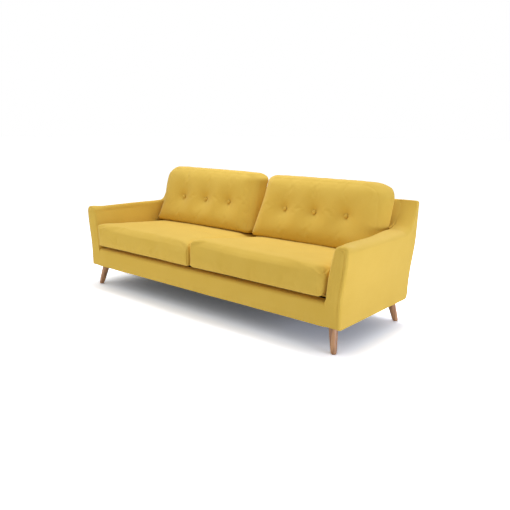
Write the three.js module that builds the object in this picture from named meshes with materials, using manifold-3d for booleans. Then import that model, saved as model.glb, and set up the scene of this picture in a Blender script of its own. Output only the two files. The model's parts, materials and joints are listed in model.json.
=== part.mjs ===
// A two-cushion sofa with slim outward-leaning arms and splayed round wooden legs.
// Millimetres and degrees. X runs along the sofa, Y from its front to its rear, Z up.
// Left and right are those of a person who stands in front of the sofa and looks at it.

import * as THREE from "three";
import { mergeVertices } from "three/addons/utils/BufferGeometryUtils.js";
import Module from "manifold-3d";

const wasm = await Module();
wasm.setup();

// ---------------------------------------------------------------- driving dimensions

// Clearances
const restGap = 0.3; // between two pieces that lie on each other
const seatRearGap = 4; // between a seat cushion and the back's padded face
const cushionGap = 3; // between neighbouring cushions
const cushionSideGap = 4; // between a seat cushion and the arm beside it

// Outer shape
const baseHeight = 147; // floor to the underside of the upholstered base
const seatHalfWidth = 977; // middle of the sofa to an arm's inner face
const armWidth = 83; // of an arm at the seat
const armHeight = 580; // floor to the top of an arm
const backHeight = 732; // floor to the top of the back
const sofaDepth = 776; // front of the base to the rear of the back, below its lean
const innerFlareHeight = 300; // floor to where the arms' inner faces begin to lean out
const innerFlare = 50; // lean of an arm's inner face at the front
const innerFlareRear = 6; // and at the back
const outerFlareHeight = 220; // floor to where the outer faces begin to lean out
const outerFlareRise = 320; // height over which the outer face leans
const outerFlare = 42; // lean of an arm's outer face at the front
const outerFlareRear = 20; // and at the back
const flareFadeStart = 300; // front to where the front's lean starts to become the back's
const flareFadeLength = 320;
const armTopRound = 38; // height of an arm's rounded top
const backEndRound = 14; // the same at the ends of the back
const armEdgeRound = 12; // round edge about an arm's front face
const rearEdgeRound = 18; // round edge about an arm's rear face
const sweepLength = 85; // run over which an arm's top rises to the back
const backEndDepth = 36; // from the end of that sweep to the rear face
const sweepStart = sofaDepth - backEndDepth - sweepLength;
const rearTuck = 31; // how far the foot of the rear face is tucked under
const rearTuckHeight = 75; // height of that tuck
const backLean = 3.7; // degrees that the frame of the back leans to the rear
const backLeanHeight = 230; // floor to where that lean starts
const padding = 12; // foam and cover over the arms' frames

// Seat
const seatPitch = 2; // degrees that the seat falls to the rear
const borderHeight = 297; // floor to the top of the upholstered front border
const borderEdgeRound = 14; // of the border's front top edge
const borderDepth = 58; // front to the rear edge of the border's top
const deckRise = 2.7; // from the border's top to the seat deck's at the front plane
const deckHeight = borderHeight + deckRise;
const seatThickness = 140; // of a seat cushion at its edges
const seatCrown = 22; // further thickness at its middle
const seatOverhang = 36; // how far a seat cushion reaches out over the base
const seatEdgeRound = 30;

// Back
const backRake = 11; // degrees that the back's padded face leans to the rear
const backPadDepth = 88; // from that face to the rear face's foot, at the height named next
const backFaceLevel = 430;
const backFaceDepth = sofaDepth - backPadDepth;
const backTopRound = 24; // of the padded roll along the top of the back
const backPanelThickness = 7; // outside back: board and cover
const backCushionHeight = 415;
const backCushionEndGap = 3; // between a back cushion's outer end and the arm's inner face
const backCushionSpread = 20; // further reach of that end above the arm
const backCushionTaper = 62; // how far the face's top corners are drawn in from the ends
const backCushionBow = 3; // rise of the top edge from its corners to its middle
const backCushionFoot = 166; // thickness at the bottom
const backCushionTip = 100; // thickness at the top
const backCushionRound = 58;

// Buttons
const buttonsPerCushion = 3;
const firstButton = 252; // middle of the sofa to the nearest button
const buttonSpacing = 232;
const buttonRow = 199; // up the cushion from its foot
const buttonRadius = 14;
const buttonThickness = 9;
const dimpleDepth = 24;
const dimpleRadius = 34;

// Timber frame
const railThickness = 25;
const railInset = 3; // from the underside of the base to that of the rails
const deckThickness = 29.7; // from the rails' pitched top to the deck's, with the webbing
const seatFrameHeight = deckHeight - deckThickness; // at the front plane
const railEndInset = 20; // from a rail's end to the foot of an arm's outer face
const rearRailThickness = 21;
const rearRailInset = 10; // from the rear rail to the foot of the rear face
const stretcherWidth = 40;
const stretcherDrop = 15; // below the webbing, so that the seat can give
const stretcherHeight = 60;
const formerThickness = 18; // plywood formers that shape the arms
const armRailSection = 30;
const armRailDrop = 45; // from an arm's top to its rail
const backRailThickness = 25;
const backTopRailHeight = 50;
const backTopRailDrop = 42; // from the top of the back to that rail
const backLowerRailHeight = 60;
const backLowerRailRise = 20; // from the seat frame's top, at its front, to that rail
const uprightWidth = 45;

// Webbing and underside
const strapWidth = 60;
const strapThickness = 2;
const seatStrapCount = 6;
const seatStrapSpacing = 300;
const crossStrapDepths = [240, 480]; // front to the middle of each lengthwise strap
const backStrapCount = 4;
const backStrapSpacing = 420;
const dustCoverThickness = 2;

// Legs
const legSplayOut = 11; // degrees, towards the sofa's ends
const legSplayForward = 12.2; // degrees, towards its front or rear
const legEndInset = 68; // from a leg's axis at the base to the foot of an arm's outer face
const frontLegInset = 70; // from that axis to the front
const rearLegInset = 75; // from a rear leg's axis to the rear face
const legTopRadius = 25;
const legFootRadius = 16.5;
const glideThickness = 3;
const glideRadius = 13;
const blockWidth = 75;
const blockHeight = 46;
const boltRadius = 4;
const boltReach = 42; // along the axis to each side of the leg's top
const boltClearance = 0.3;

// ---------------------------------------------------------------- finishes

const finish = (color, roughness, metalness = 0) =>
  new THREE.MeshStandardMaterial({ color, roughness, metalness });
const mustardFabric = finish(0xd8b650, 0.9);
const buttonFabric = finish(0xd0ad48, 0.9);
const legWood = finish(0xa87a55, 0.5);
const frameTimber = finish(0xd9bd8f, 0.75);
const plywood = finish(0xcfae7c, 0.75);
const elasticWebbing = finish(0x3a3632, 0.85);
const blackLining = finish(0x1d1c1b, 0.95);
const zincSteel = finish(0xb9bcc0, 0.35, 1);
const glidePlastic = finish(0x4a3b30, 0.6);

// ---------------------------------------------------------------- helpers

const sofa = new THREE.Group();
const sides = [
  { name: "left", sign: -1 },
  { name: "right", sign: 1 },
];
const tangent = (degrees) => Math.tan(THREE.MathUtils.degToRad(degrees));
const smooth = (t) => THREE.MathUtils.smoothstep(t, 0, 1);

function addPiece(name, geometry, material, parent = sofa) {
  const mesh = new THREE.Mesh(geometry, material);
  mesh.name = name;
  parent.add(mesh);
  return mesh;
}

// Keeps positions only and shares the vertices that coincide.
function welded(geometry) {
  const bare = geometry.clone();
  bare.deleteAttribute("normal");
  bare.deleteAttribute("uv");
  return mergeVertices(bare, 1e-4);
}

function solidOf(geometry) {
  const bare = welded(geometry);
  const vertProperties = new Float32Array(bare.attributes.position.array);
  const triVerts = new Uint32Array(bare.index.array);
  return new wasm.Manifold(new wasm.Mesh({ numProp: 3, vertProperties, triVerts }));
}

function geometryOf(solid) {
  const mesh = solid.getMesh();
  const geometry = new THREE.BufferGeometry();
  geometry.setAttribute("position", new THREE.BufferAttribute(mesh.vertProperties, 3));
  geometry.setIndex(new THREE.BufferAttribute(mesh.triVerts, 1));
  return geometry;
}

// Cuts every tool out of the body.
function cut(body, tools) {
  let solid = solidOf(body);
  for (const tool of tools) {
    solid = solid.subtract(solidOf(tool));
  }
  return geometryOf(solid);
}

// The same shape on the other side of the sofa's middle.
function mirrored(geometry) {
  const copy = welded(geometry);
  copy.scale(-1, 1, 1);
  const index = copy.index.array;
  for (let i = 0; i < index.length; i += 3) {
    [index[i], index[i + 1]] = [index[i + 1], index[i]];
  }
  return copy;
}

const onSide = (geometry, side) => (side.sign > 0 ? geometry : mirrored(geometry));

function block([x0, x1], [y0, y1], [z0, z1]) {
  const geometry = new THREE.BoxGeometry(x1 - x0, y1 - y0, z1 - z0);
  return geometry.translate((x0 + x1) / 2, (y0 + y1) / 2, (z0 + z1) / 2);
}

// A (y, z) outline, run along the sofa from x0 to x1.
function profileAlongX(outline, x0, x1) {
  const shape = new THREE.Shape(outline.map(([y, z]) => new THREE.Vector2(y, z)));
  const geometry = new THREE.ExtrudeGeometry(shape, { depth: x1 - x0, bevelEnabled: false });
  const axes = new THREE.Matrix4().makeBasis(
    new THREE.Vector3(0, 1, 0),
    new THREE.Vector3(0, 0, 1),
    new THREE.Vector3(1, 0, 0),
  );
  return geometry.applyMatrix4(axes).translate(x0, 0, 0);
}

// A skin over rings of equal point count, closed at both ends. Rings are flat across the
// axis that they follow: "x" or "y".
function loft(rings, along) {
  const count = rings[0].length;
  const positions = rings.flat().flatMap((p) => [p.x, p.y, p.z]);
  const index = [];
  for (let ring = 0; ring + 1 < rings.length; ring += 1) {
    for (let i = 0; i < count; i += 1) {
      const next = (i + 1) % count;
      const [a, b] = [ring * count + i, ring * count + next];
      const [c, d] = [a + count, b + count];
      index.push(a, b, c, b, d, c);
    }
  }
  // A cap triangle whose corners are taken in the ring's order turns the way the ring does.
  const cap = (ring) => {
    const outline = ring.map((p) => new THREE.Vector2(along === "y" ? p.x : p.y, p.z));
    const triangles = THREE.ShapeUtils.triangulateShape(outline, []);
    return triangles.map((corners) => corners.toSorted((a, b) => a - b));
  };
  for (const [a, b, c] of cap(rings[0])) {
    index.push(c, b, a);
  }
  const last = (rings.length - 1) * count;
  for (const [a, b, c] of cap(rings.at(-1))) {
    index.push(last + a, last + b, last + c);
  }
  const geometry = new THREE.BufferGeometry();
  geometry.setAttribute("position", new THREE.Float32BufferAttribute(positions, 3));
  geometry.setIndex(index);
  return facingOut(geometry);
}

// Turns every triangle over if the surface encloses a negative volume.
function facingOut(geometry) {
  const [a, b, c] = [new THREE.Vector3(), new THREE.Vector3(), new THREE.Vector3()];
  const { position } = geometry.attributes;
  const index = geometry.index.array;
  let volume = 0;
  for (let i = 0; i < index.length; i += 3) {
    a.fromBufferAttribute(position, index[i]);
    b.fromBufferAttribute(position, index[i + 1]);
    c.fromBufferAttribute(position, index[i + 2]);
    volume += a.dot(b.cross(c));
  }
  if (volume < 0) {
    for (let i = 0; i < index.length; i += 3) {
      [index[i], index[i + 1]] = [index[i + 1], index[i]];
    }
  }
  return geometry;
}

// Grid lines along one side of a rounded block: the arcs' direction and the flat part's place.
function roundedSteps(half, radius, arcSteps, flatSteps) {
  const core = half - radius;
  const steps = [];
  for (let i = 0; i < arcSteps; i += 1) {
    steps.push({ core: -core, lean: -Math.tan((Math.PI / 4) * (1 - i / arcSteps)) });
  }
  for (let i = 0; i <= flatSteps; i += 1) {
    steps.push({ core: core * ((2 * i) / flatSteps - 1), lean: 0 });
  }
  for (let i = 1; i <= arcSteps; i += 1) {
    steps.push({ core, lean: Math.tan((Math.PI / 4) * (i / arcSteps)) });
  }
  return steps;
}

// A block with every edge and corner rounded, centred on the origin, with its flats divided
// so that reshape(point, share) can swell or taper it. share runs from -1 to 1 on each axis.
function cushionBody(size, radius, flatSteps, reshape) {
  const arcSteps = 3;
  const half = size.clone().multiplyScalar(0.5);
  const axes = ["x", "y", "z"];
  const steps = axes.map((axis, i) =>
    roundedSteps(half[axis], radius, arcSteps, flatSteps[i]));
  const positions = [];
  const index = [];
  for (let face = 0; face < 6; face += 1) {
    const normal = face >> 1;
    const sign = face % 2 ? 1 : -1;
    const [u, v] = [(normal + 1) % 3, (normal + 2) % 3];
    const first = positions.length / 3;
    for (const stepU of steps[u]) {
      for (const stepV of steps[v]) {
        const lean = [0, 0, 0];
        const core = [0, 0, 0];
        [lean[normal], core[normal]] = [sign, sign * (half[axes[normal]] - radius)];
        [lean[u], core[u]] = [stepU.lean, stepU.core];
        [lean[v], core[v]] = [stepV.lean, stepV.core];
        const point = new THREE.Vector3(...lean).setLength(radius);
        point.add(new THREE.Vector3(...core));
        reshape(point, point.clone().divide(half));
        positions.push(point.x, point.y, point.z);
      }
    }
    const [rows, columns] = [steps[u].length, steps[v].length];
    for (let i = 0; i + 1 < rows; i += 1) {
      for (let j = 0; j + 1 < columns; j += 1) {
        const a = first + i * columns + j;
        const [b, c, d] = [a + columns, a + columns + 1, a + 1];
        index.push(...(sign > 0 ? [a, b, c, a, c, d] : [a, c, b, a, d, c]));
      }
    }
  }
  const geometry = new THREE.BufferGeometry();
  geometry.setAttribute("position", new THREE.Float32BufferAttribute(positions, 3));
  geometry.setIndex(index);
  return facingOut(welded(geometry));
}

// ---------------------------------------------------------------- shapes that pieces share

// Height of an arm's top at a depth: level at first, then a hollow sweep up into the back.
function armTopAt(depth) {
  const share = THREE.MathUtils.clamp((depth - sweepStart) / sweepLength, 0, 1);
  return backHeight - (backHeight - armHeight) * Math.sqrt(1 - share * share);
}

// How far the arms' lean has changed from the front's to the back's, from 0 to 1.
const flareFade = (depth) => smooth((depth - flareFadeStart) / flareFadeLength);

// Distance from the sofa's middle to an arm's inner and outer faces.
function armInnerAt(height, depth) {
  const share = (height - innerFlareHeight) / (armHeight - innerFlareHeight);
  const flare = THREE.MathUtils.lerp(innerFlare, innerFlareRear, flareFade(depth));
  return seatHalfWidth + flare * THREE.MathUtils.clamp(share, 0, 1) ** 1.7;
}

function armOuterAt(height, depth) {
  const flare = THREE.MathUtils.lerp(outerFlare, outerFlareRear, flareFade(depth));
  return seatHalfWidth + armWidth + flare * smooth((height - outerFlareHeight) / outerFlareRise);
}

// How far the back's lean carries a point to the rear at a height.
const leanAt = (height) => Math.max(0, height - backLeanHeight) * tangent(backLean);

// Leans the rear of a shape with the back. What lies in front of the sweep stays as it is.
function leaned(geometry) {
  const { position } = geometry.attributes;
  for (let i = 0; i < position.count; i += 1) {
    const [y, z] = [position.getY(i), position.getZ(i)];
    position.setY(i, y + leanAt(z) * smooth((y - sweepStart) / (sweepLength / 2)));
  }
  return geometry;
}

// Depth of the rear face, tucked under at its foot, and the underside that this tuck gives.
function rearFaceAt(height) {
  const drop = THREE.MathUtils.clamp(1 - (height - baseHeight) / rearTuckHeight, 0, 1);
  return sofaDepth - rearTuck * (1 - Math.sqrt(1 - drop)) + leanAt(height);
}

function undersideAt(depth) {
  const tuck = THREE.MathUtils.clamp((depth - sofaDepth + rearTuck) / rearTuck, 0, 1);
  return baseHeight + rearTuckHeight * tuck ** 2;
}

// Depth of the back's padded face at a height.
const backFaceAt = (height) => backFaceDepth + (height - backFaceLevel) * tangent(backRake);

// The pitched plane of the seat frame's top, on which the webbing lies.
const seatFrameAt = (depth) => seatFrameHeight - depth * tangent(seatPitch);
const deckTopAt = (depth) => deckHeight - depth * tangent(seatPitch);

// One ring about the right arm at a depth. inset draws it in from the arm's own faces, and
// innerInset does so for the face that looks to the sofa's middle.
function armRing(depth, inset, foot, wallSteps, topSteps, innerInset = inset) {
  const crown = armTopAt(depth) - inset;
  const swept = smooth((depth - sweepStart) / sweepLength);
  const round = THREE.MathUtils.lerp(armTopRound - inset / 2, backEndRound, swept);
  const shoulder = crown - round;
  const inner = (height) => armInnerAt(height, depth) + innerInset;
  const outer = (height) => armOuterAt(height, depth) - inset;
  const ring = [];
  for (let i = 0; i < wallSteps; i += 1) {
    const height = THREE.MathUtils.lerp(foot, shoulder, i / wallSteps);
    ring.push(new THREE.Vector3(inner(height), depth, height));
  }
  const middle = (inner(shoulder) + outer(shoulder)) / 2;
  const reach = (outer(shoulder) - inner(shoulder)) / 2;
  for (let i = 0; i <= topSteps; i += 1) {
    const turn = Math.PI * (1 - i / topSteps);
    const across = Math.sign(Math.cos(turn)) * Math.abs(Math.cos(turn)) ** (round / reach);
    ring.push(new THREE.Vector3(middle + reach * across, depth, shoulder + round * Math.sin(turn)));
  }
  for (let i = wallSteps - 1; i >= 0; i -= 1) {
    const height = THREE.MathUtils.lerp(foot, shoulder, i / wallSteps);
    ring.push(new THREE.Vector3(outer(height), depth, height));
  }
  return ring;
}

// Depths along the sweep, closer together where it is steep.
function sweepDepths(steps) {
  const depths = [];
  for (let i = 0; i <= steps; i += 1) {
    depths.push(sweepStart + sweepLength * Math.sin((Math.PI / 2) * (i / steps)));
  }
  return depths;
}

// The right arm's outer envelope, drawn out by a clearance where a neighbour is cut to it.
function armEnvelope(clearance = 0) {
  const edgeSteps = 3;
  const rings = [];
  const addRing = (depth, inset, innerInset = inset) => {
    const foot = undersideAt(depth) + inset / 3 - clearance;
    rings.push(armRing(depth, inset - clearance, foot, 7, 8, innerInset - clearance));
  };
  for (let i = 0; i <= edgeSteps; i += 1) {
    const turn = (Math.PI / 2) * (i / edgeSteps);
    const depth = armEdgeRound * (1 - Math.cos(turn));
    addRing(depth - clearance, armEdgeRound * (1 - Math.sin(turn)));
  }
  const fadeSteps = 3;
  for (let i = 0; i < fadeSteps; i += 1) {
    addRing(flareFadeStart + ((sweepStart - flareFadeStart) * i) / fadeSteps, 0);
  }
  for (const depth of sweepDepths(7)) {
    addRing(depth, 0);
  }
  for (let i = edgeSteps; i >= 0; i -= 1) {
    const turn = (Math.PI / 2) * (i / edgeSteps);
    const depth = sofaDepth - rearEdgeRound * (1 - Math.cos(turn));
    addRing(depth, rearEdgeRound * (1 - Math.sin(turn)), 0);
  }
  if (clearance > 0) {
    addRing(sofaDepth + rearEdgeRound, rearEdgeRound, 0);
  }
  return leaned(loft(rings, "y"));
}

// Places of the rails that the arms, the legs, the webbing and the back all meet.
const armFootReach = seatHalfWidth + armWidth; // middle of the sofa to the arms' outer feet
const armRailHeight = armHeight - armRailDrop - armRailSection;
const railHalfLength = armFootReach - railEndInset;
const railFoot = baseHeight + railInset;
const frontRailFront = padding + restGap;
const frontRailRear = frontRailFront + railThickness;
const rearRailRear = sofaDepth - rearTuck - rearRailInset;
const rearRailDepth = rearRailRear - rearRailThickness;
const backRailRear = sofaDepth - padding - restGap;
const backRailFront = backRailRear - backRailThickness;
const backTopRailTop = backHeight - backTopRailDrop;
const backTopRailFoot = backTopRailTop - backTopRailHeight;
const backLowerRailFoot = seatFrameHeight + backLowerRailRise;

// ---------------------------------------------------------------- arms

// The room inside an arm's upholstery, open below so that the cover is a shell.
function armCavity() {
  const openFoot = baseHeight - 40;
  const rearStart = sofaDepth - rearTuck - padding;
  const rearEnd = sofaDepth - padding;
  const swept = sweepDepths(5).map((depth) => depth + padding);
  const depths = [padding, flareFadeStart, sweepStart - 60, ...swept];
  const level = depths.filter((depth) => depth < rearStart);
  const behind = [0, 0.02, 0.35, 0.7, 1].map((t) => THREE.MathUtils.lerp(rearStart, rearEnd, t));
  const rings = [...level, ...behind].map((depth) => {
    const foot = depth > rearStart ? undersideAt(depth + padding) : openFoot;
    return armRing(depth, padding, foot, 10, 6);
  });
  return leaned(loft(rings, "y"));
}

const innerWall = [seatHalfWidth - 20, seatHalfWidth + padding + 25];

function armUpholstery() {
  const seatFramePass = block(
    innerWall,
    [padding, backRailFront],
    [baseHeight - 40, seatFrameHeight + 5],
  );
  const backFramePass = block(
    [innerWall[0], railHalfLength + 3],
    [backRailFront - restGap, backRailRear],
    [backLowerRailFoot - 3, backTopRailTop + 3],
  );
  return cut(armEnvelope(), [armCavity(), seatFramePass, leaned(backFramePass)]);
}

// A plywood former that gives an arm its shape, from a foot up to a limit below the arm's top.
function armFormer(front, foot) {
  const rear = front + formerThickness;
  const inset = padding + 1;
  const nearer = armRing(front, inset, foot, 7, 6);
  const further = nearer.map((p) => new THREE.Vector3(p.x, rear, p.z));
  return leaned(loft([nearer, further], "y"));
}

const frontFormerDepth = padding + restGap;
const rearFormerDepth = backRailFront - restGap - formerThickness;

function addArms() {
  const cover = armUpholstery();
  const front = armFormer(frontFormerDepth, seatFrameHeight + restGap);
  const rear = armFormer(rearFormerDepth, seatFrameAt(rearFormerDepth) + restGap);
  // The rail is straight, so it has to clear the inner face in front and the outer one behind.
  const nearest = armInnerAt(armRailHeight + armRailSection, 0);
  const furthest = armOuterAt(armRailHeight, sofaDepth);
  const railX = (nearest + furthest - armRailSection) / 2;
  const topRail = block(
    [railX, railX + armRailSection],
    [frontFormerDepth + formerThickness + restGap, rearFormerDepth - restGap],
    [armRailHeight, armRailHeight + armRailSection],
  );
  for (const side of sides) {
    addPiece(`${side.name}_arm_upholstery`, onSide(cover, side), mustardFabric);
    addPiece(`${side.name}_arm_front_former`, onSide(front, side), plywood);
    addPiece(`${side.name}_arm_rear_former`, onSide(rear, side), plywood);
    addPiece(`${side.name}_arm_top_rail`, onSide(topRail, side), frameTimber);
  }
}

// ---------------------------------------------------------------- seat frame

// A rail whose top follows the pitched plane of the seat frame.
function pitchedRail(x0, x1, y0, y1, foot, drop = 0) {
  const outline = [
    [y0, foot],
    [y1, foot],
    [y1, seatFrameAt(y1) - drop],
    [y0, seatFrameAt(y0) - drop],
  ];
  return profileAlongX(outline, x0, x1);
}

function addSeatFrame() {
  const [between, behind] = [frontRailRear + restGap, rearRailDepth - restGap];
  const front = pitchedRail(-railHalfLength, railHalfLength, frontRailFront, frontRailRear, railFoot);
  const rear = pitchedRail(-railHalfLength, railHalfLength, rearRailDepth, rearRailRear, railFoot);
  const sideRail = pitchedRail(
    railHalfLength - railThickness, railHalfLength, between, behind, railFoot);
  const stretcherFoot = seatFrameAt(behind) - stretcherDrop - stretcherHeight;
  const stretcher = pitchedRail(
    -stretcherWidth / 2, stretcherWidth / 2, between, behind, stretcherFoot, stretcherDrop);
  addPiece("front_rail", front, frameTimber);
  addPiece("rear_rail", rear, frameTimber);
  addPiece("centre_stretcher", stretcher, frameTimber);
  for (const side of sides) {
    addPiece(`${side.name}_side_rail`, onSide(sideRail, side), frameTimber);
  }
}

// ---------------------------------------------------------------- legs, blocks and bolts

const legTop = baseHeight - restGap;
const legCorners = [
  { name: "front", depth: frontLegInset, towards: -1 },
  { name: "rear", depth: sofaDepth - rearLegInset, towards: 1 },
];

// Centre of the leg's axis at a height.
function legAxisAt(corner, height) {
  const fall = legTop - height;
  const x = armFootReach - legEndInset + fall * tangent(legSplayOut);
  const y = corner.depth + corner.towards * fall * tangent(legSplayForward);
  return new THREE.Vector3(x, y, height);
}

// A round bar about the leg's axis between two heights, with ends square to that axis.
function alongLeg(corner, lowHeight, highHeight, lowRadius, highRadius, facets) {
  const [low, high] = [legAxisAt(corner, lowHeight), legAxisAt(corner, highHeight)];
  const run = high.clone().sub(low);
  const bar = new THREE.CylinderGeometry(highRadius, lowRadius, run.length(), facets);
  const turn = new THREE.Quaternion().setFromUnitVectors(
    new THREE.Vector3(0, 1, 0), run.clone().normalize());
  return bar.applyQuaternion(turn).translate(...low.add(high).multiplyScalar(0.5).toArray());
}

function legBody(corner) {
  const overrun = 30; // past each end, before the ends are cut level
  const foot = glideThickness + restGap;
  const slope = (legTopRadius - legFootRadius) / (legTop - foot);
  const radiusAt = (height) => legFootRadius + slope * (height - foot);
  const [low, high] = [foot - overrun, legTop + overrun];
  const blank = alongLeg(corner, low, high, radiusAt(low), radiusAt(high), 28);
  const reach = 120;
  const centre = legAxisAt(corner, (foot + legTop) / 2);
  const level = block(
    [centre.x - reach, centre.x + reach], [centre.y - reach, centre.y + reach], [foot, legTop]);
  const hole = boltBar(corner, boltRadius + boltClearance, 1);
  return geometryOf(solidOf(blank).intersect(solidOf(level)).subtract(solidOf(hole)));
}

function boltBar(corner, radius, extra = 0) {
  const [low, high] = [legTop - boltReach - extra, legTop + boltReach + extra];
  return alongLeg(corner, low, high, radius, radius, 12);
}

function cornerBlock(corner) {
  const outer = railHalfLength - railThickness - restGap;
  const depths = corner.towards < 0
    ? [frontRailRear + restGap, frontRailRear + restGap + blockWidth]
    : [rearRailDepth - restGap - blockWidth, rearRailDepth - restGap];
  const body = block([outer - blockWidth, outer], depths, [railFoot, railFoot + blockHeight]);
  return cut(body, [boltBar(corner, boltRadius + boltClearance, 1)]);
}

function glide(corner) {
  const place = legAxisAt(corner, 0);
  const disc = new THREE.CylinderGeometry(glideRadius, glideRadius, glideThickness, 20);
  return disc.rotateX(Math.PI / 2).translate(place.x, place.y, glideThickness / 2);
}

function addLegs() {
  for (const corner of legCorners) {
    const shapes = [
      ["leg", legBody(corner), legWood],
      ["leg_bolt", boltBar(corner, boltRadius), zincSteel],
      ["corner_block", cornerBlock(corner), frameTimber],
      ["floor_glide", glide(corner), glidePlastic],
    ];
    for (const side of sides) {
      for (const [name, geometry, material] of shapes) {
        addPiece(`${corner.name}_${side.name}_${name}`, onSide(geometry, side), material);
      }
    }
  }
}

// ---------------------------------------------------------------- webbing, deck and underside

const weaveRise = strapThickness + 0.5;
const strapMiddle = restGap + strapThickness / 2; // above the seat frame's plane
const strapTravel = weaveRise + strapThickness / 2 + restGap; // weave about that middle

function addSeatWebbing() {
  const [front, rear] = [frontRailFront + 1, rearRailRear - 1];
  const lift = restGap + strapThickness;
  for (let i = 0; i < seatStrapCount; i += 1) {
    const x = (i - (seatStrapCount - 1) / 2) * seatStrapSpacing;
    const outline = [
      [front, seatFrameAt(front) + restGap],
      [rear, seatFrameAt(rear) + restGap],
      [rear, seatFrameAt(rear) + lift],
      [front, seatFrameAt(front) + lift],
    ];
    const strap = profileAlongX(outline, x - strapWidth / 2, x + strapWidth / 2);
    addPiece(`seat_strap_${i + 1}`, strap, elasticWebbing);
  }
  crossStrapDepths.forEach((depth, row) => {
    addPiece(`seat_cross_strap_${row + 1}`, wovenStrap(depth, row % 2 ? -1 : 1), elasticWebbing);
  });
}

// A lengthwise strap that passes over and under the straps it crosses.
function wovenStrap(depth, firstSide) {
  const stepsPerSpacing = 6;
  const halfWeave = (seatStrapCount / 2) * seatStrapSpacing;
  const stepCount = seatStrapCount * stepsPerSpacing;
  const rings = [];
  const addRing = (x, offset) => {
    const ring = [[-1, -1], [1, -1], [1, 1], [-1, 1]].map(([acrossSign, upSign]) => {
      const y = depth + (acrossSign * strapWidth) / 2;
      const z = seatFrameAt(y) + strapMiddle + offset + (upSign * strapThickness) / 2;
      return new THREE.Vector3(x, y, z);
    });
    rings.push(ring);
  };
  addRing(-railHalfLength + 1, 0);
  for (let i = 0; i <= stepCount; i += 1) {
    const x = -halfWeave + (i * 2 * halfWeave) / stepCount;
    addRing(x, firstSide * weaveRise * Math.sin((Math.PI * i) / stepsPerSpacing));
  }
  addRing(railHalfLength - 1, 0);
  return loft(rings, "x");
}

function addSeatDeck() {
  const [front, rear] = [borderDepth + restGap, backFaceAt(seatFrameHeight) - restGap];
  const under = (depth) => seatFrameAt(depth) + strapMiddle + strapTravel;
  const outline = [
    [front, under(front)],
    [rear, under(rear)],
    [rear, deckTopAt(rear)],
    [front, deckTopAt(front)],
  ];
  const reach = seatHalfWidth - restGap;
  addPiece("seat_deck", profileAlongX(outline, -reach, reach), mustardFabric);
}

function addFrontBorder() {
  const under = seatFrameHeight + strapMiddle + strapTravel;
  const outline = [[0, baseHeight], [padding, baseHeight], [padding, under], [borderDepth, under]];
  outline.push([borderDepth, borderHeight]);
  const arcSteps = 5;
  for (let i = 0; i <= arcSteps; i += 1) {
    const turn = (Math.PI / 2) * (i / arcSteps);
    const y = borderEdgeRound * (1 - Math.sin(turn));
    outline.push([y, borderHeight - borderEdgeRound * (1 - Math.cos(turn))]);
  }
  const reach = seatHalfWidth - restGap;
  addPiece("front_border", profileAlongX(outline, -reach, reach), mustardFabric);
}

function addDustCover() {
  const reach = armFootReach - padding - restGap;
  const [front, rear] = [padding + restGap, sofaDepth - rearTuck - padding - restGap];
  const sheet = block([-reach, reach], [front, rear], [baseHeight, baseHeight + dustCoverThickness]);
  const holes = legCorners.flatMap((corner) => {
    const hole = boltBar(corner, boltRadius + 2, 1);
    return [hole, mirrored(hole)];
  });
  addPiece("dust_cover", cut(sheet, holes), blackLining);
}

// ---------------------------------------------------------------- back

function addBackFrame() {
  const depths = [backRailFront, backRailRear];
  const lowerTop = backLowerRailFoot + backLowerRailHeight;
  const reach = [-railHalfLength, railHalfLength];
  const lower = leaned(block(reach, depths, [backLowerRailFoot, lowerTop]));
  const top = leaned(block(reach, depths, [backTopRailFoot, backTopRailTop]));
  const upright = block(
    [-uprightWidth / 2, uprightWidth / 2],
    depths,
    [lowerTop + restGap, backTopRailFoot - restGap],
  );
  addPiece("back_lower_rail", lower, frameTimber);
  addPiece("back_top_rail", top, frameTimber);
  addPiece("back_centre_upright", leaned(upright), frameTimber);
  const strapRear = backRailFront - restGap;
  for (let i = 0; i < backStrapCount; i += 1) {
    const x = (i - (backStrapCount - 1) / 2) * backStrapSpacing;
    const strap = block(
      [x - strapWidth / 2, x + strapWidth / 2],
      [strapRear - strapThickness, strapRear],
      [backLowerRailFoot + 5, backTopRailTop - 5],
    );
    addPiece(`back_strap_${i + 1}`, leaned(strap), elasticWebbing);
  }
}

// The padded inside of the back, with the roll that covers the top rail.
function insideBack(envelopes) {
  const foot = seatFrameHeight + 5;
  const rear = backRailFront - 2 * restGap - strapThickness;
  const railTop = backTopRailTop + restGap;
  const shoulder = backHeight - backTopRound;
  const outline = [[rear + leanAt(foot), foot], [rear + leanAt(railTop), railTop]];
  outline.push([rearFaceAt(railTop), railTop]);
  const arcSteps = 4;
  for (let i = 0; i <= arcSteps; i += 1) {
    const turn = (Math.PI / 2) * (i / arcSteps);
    const y = rearFaceAt(shoulder) - rearEdgeRound * (1 - Math.cos(turn));
    outline.push([y, shoulder + backTopRound * Math.sin(turn)]);
  }
  const face = backFaceAt(shoulder);
  for (let i = arcSteps; i >= 0; i -= 1) {
    const turn = (Math.PI / 2) * (i / arcSteps);
    const y = face + backTopRound * (1 - Math.cos(turn));
    outline.push([y, shoulder + backTopRound * Math.sin(turn)]);
  }
  outline.push([backFaceAt(foot), foot]);
  return cut(profileAlongX(outline, -backPadReach, backPadReach), envelopes);
}

// The flat outside of the back, tucked under at its foot.
function outsideBack(envelopes) {
  const tuckSteps = 5;
  const outer = [];
  for (let i = 0; i <= tuckSteps; i += 1) {
    const height = baseHeight + (rearTuckHeight * i) / tuckSteps;
    outer.push([rearFaceAt(height), height]);
  }
  for (const height of [backLeanHeight, backTopRailTop]) {
    outer.push([rearFaceAt(height), height]);
  }
  const inner = outer.map(([y, z]) => [y - backPanelThickness, z]).reverse();
  const panel = profileAlongX([...outer, ...inner], -backPadReach, backPadReach);
  return cut(panel, envelopes);
}

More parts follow.
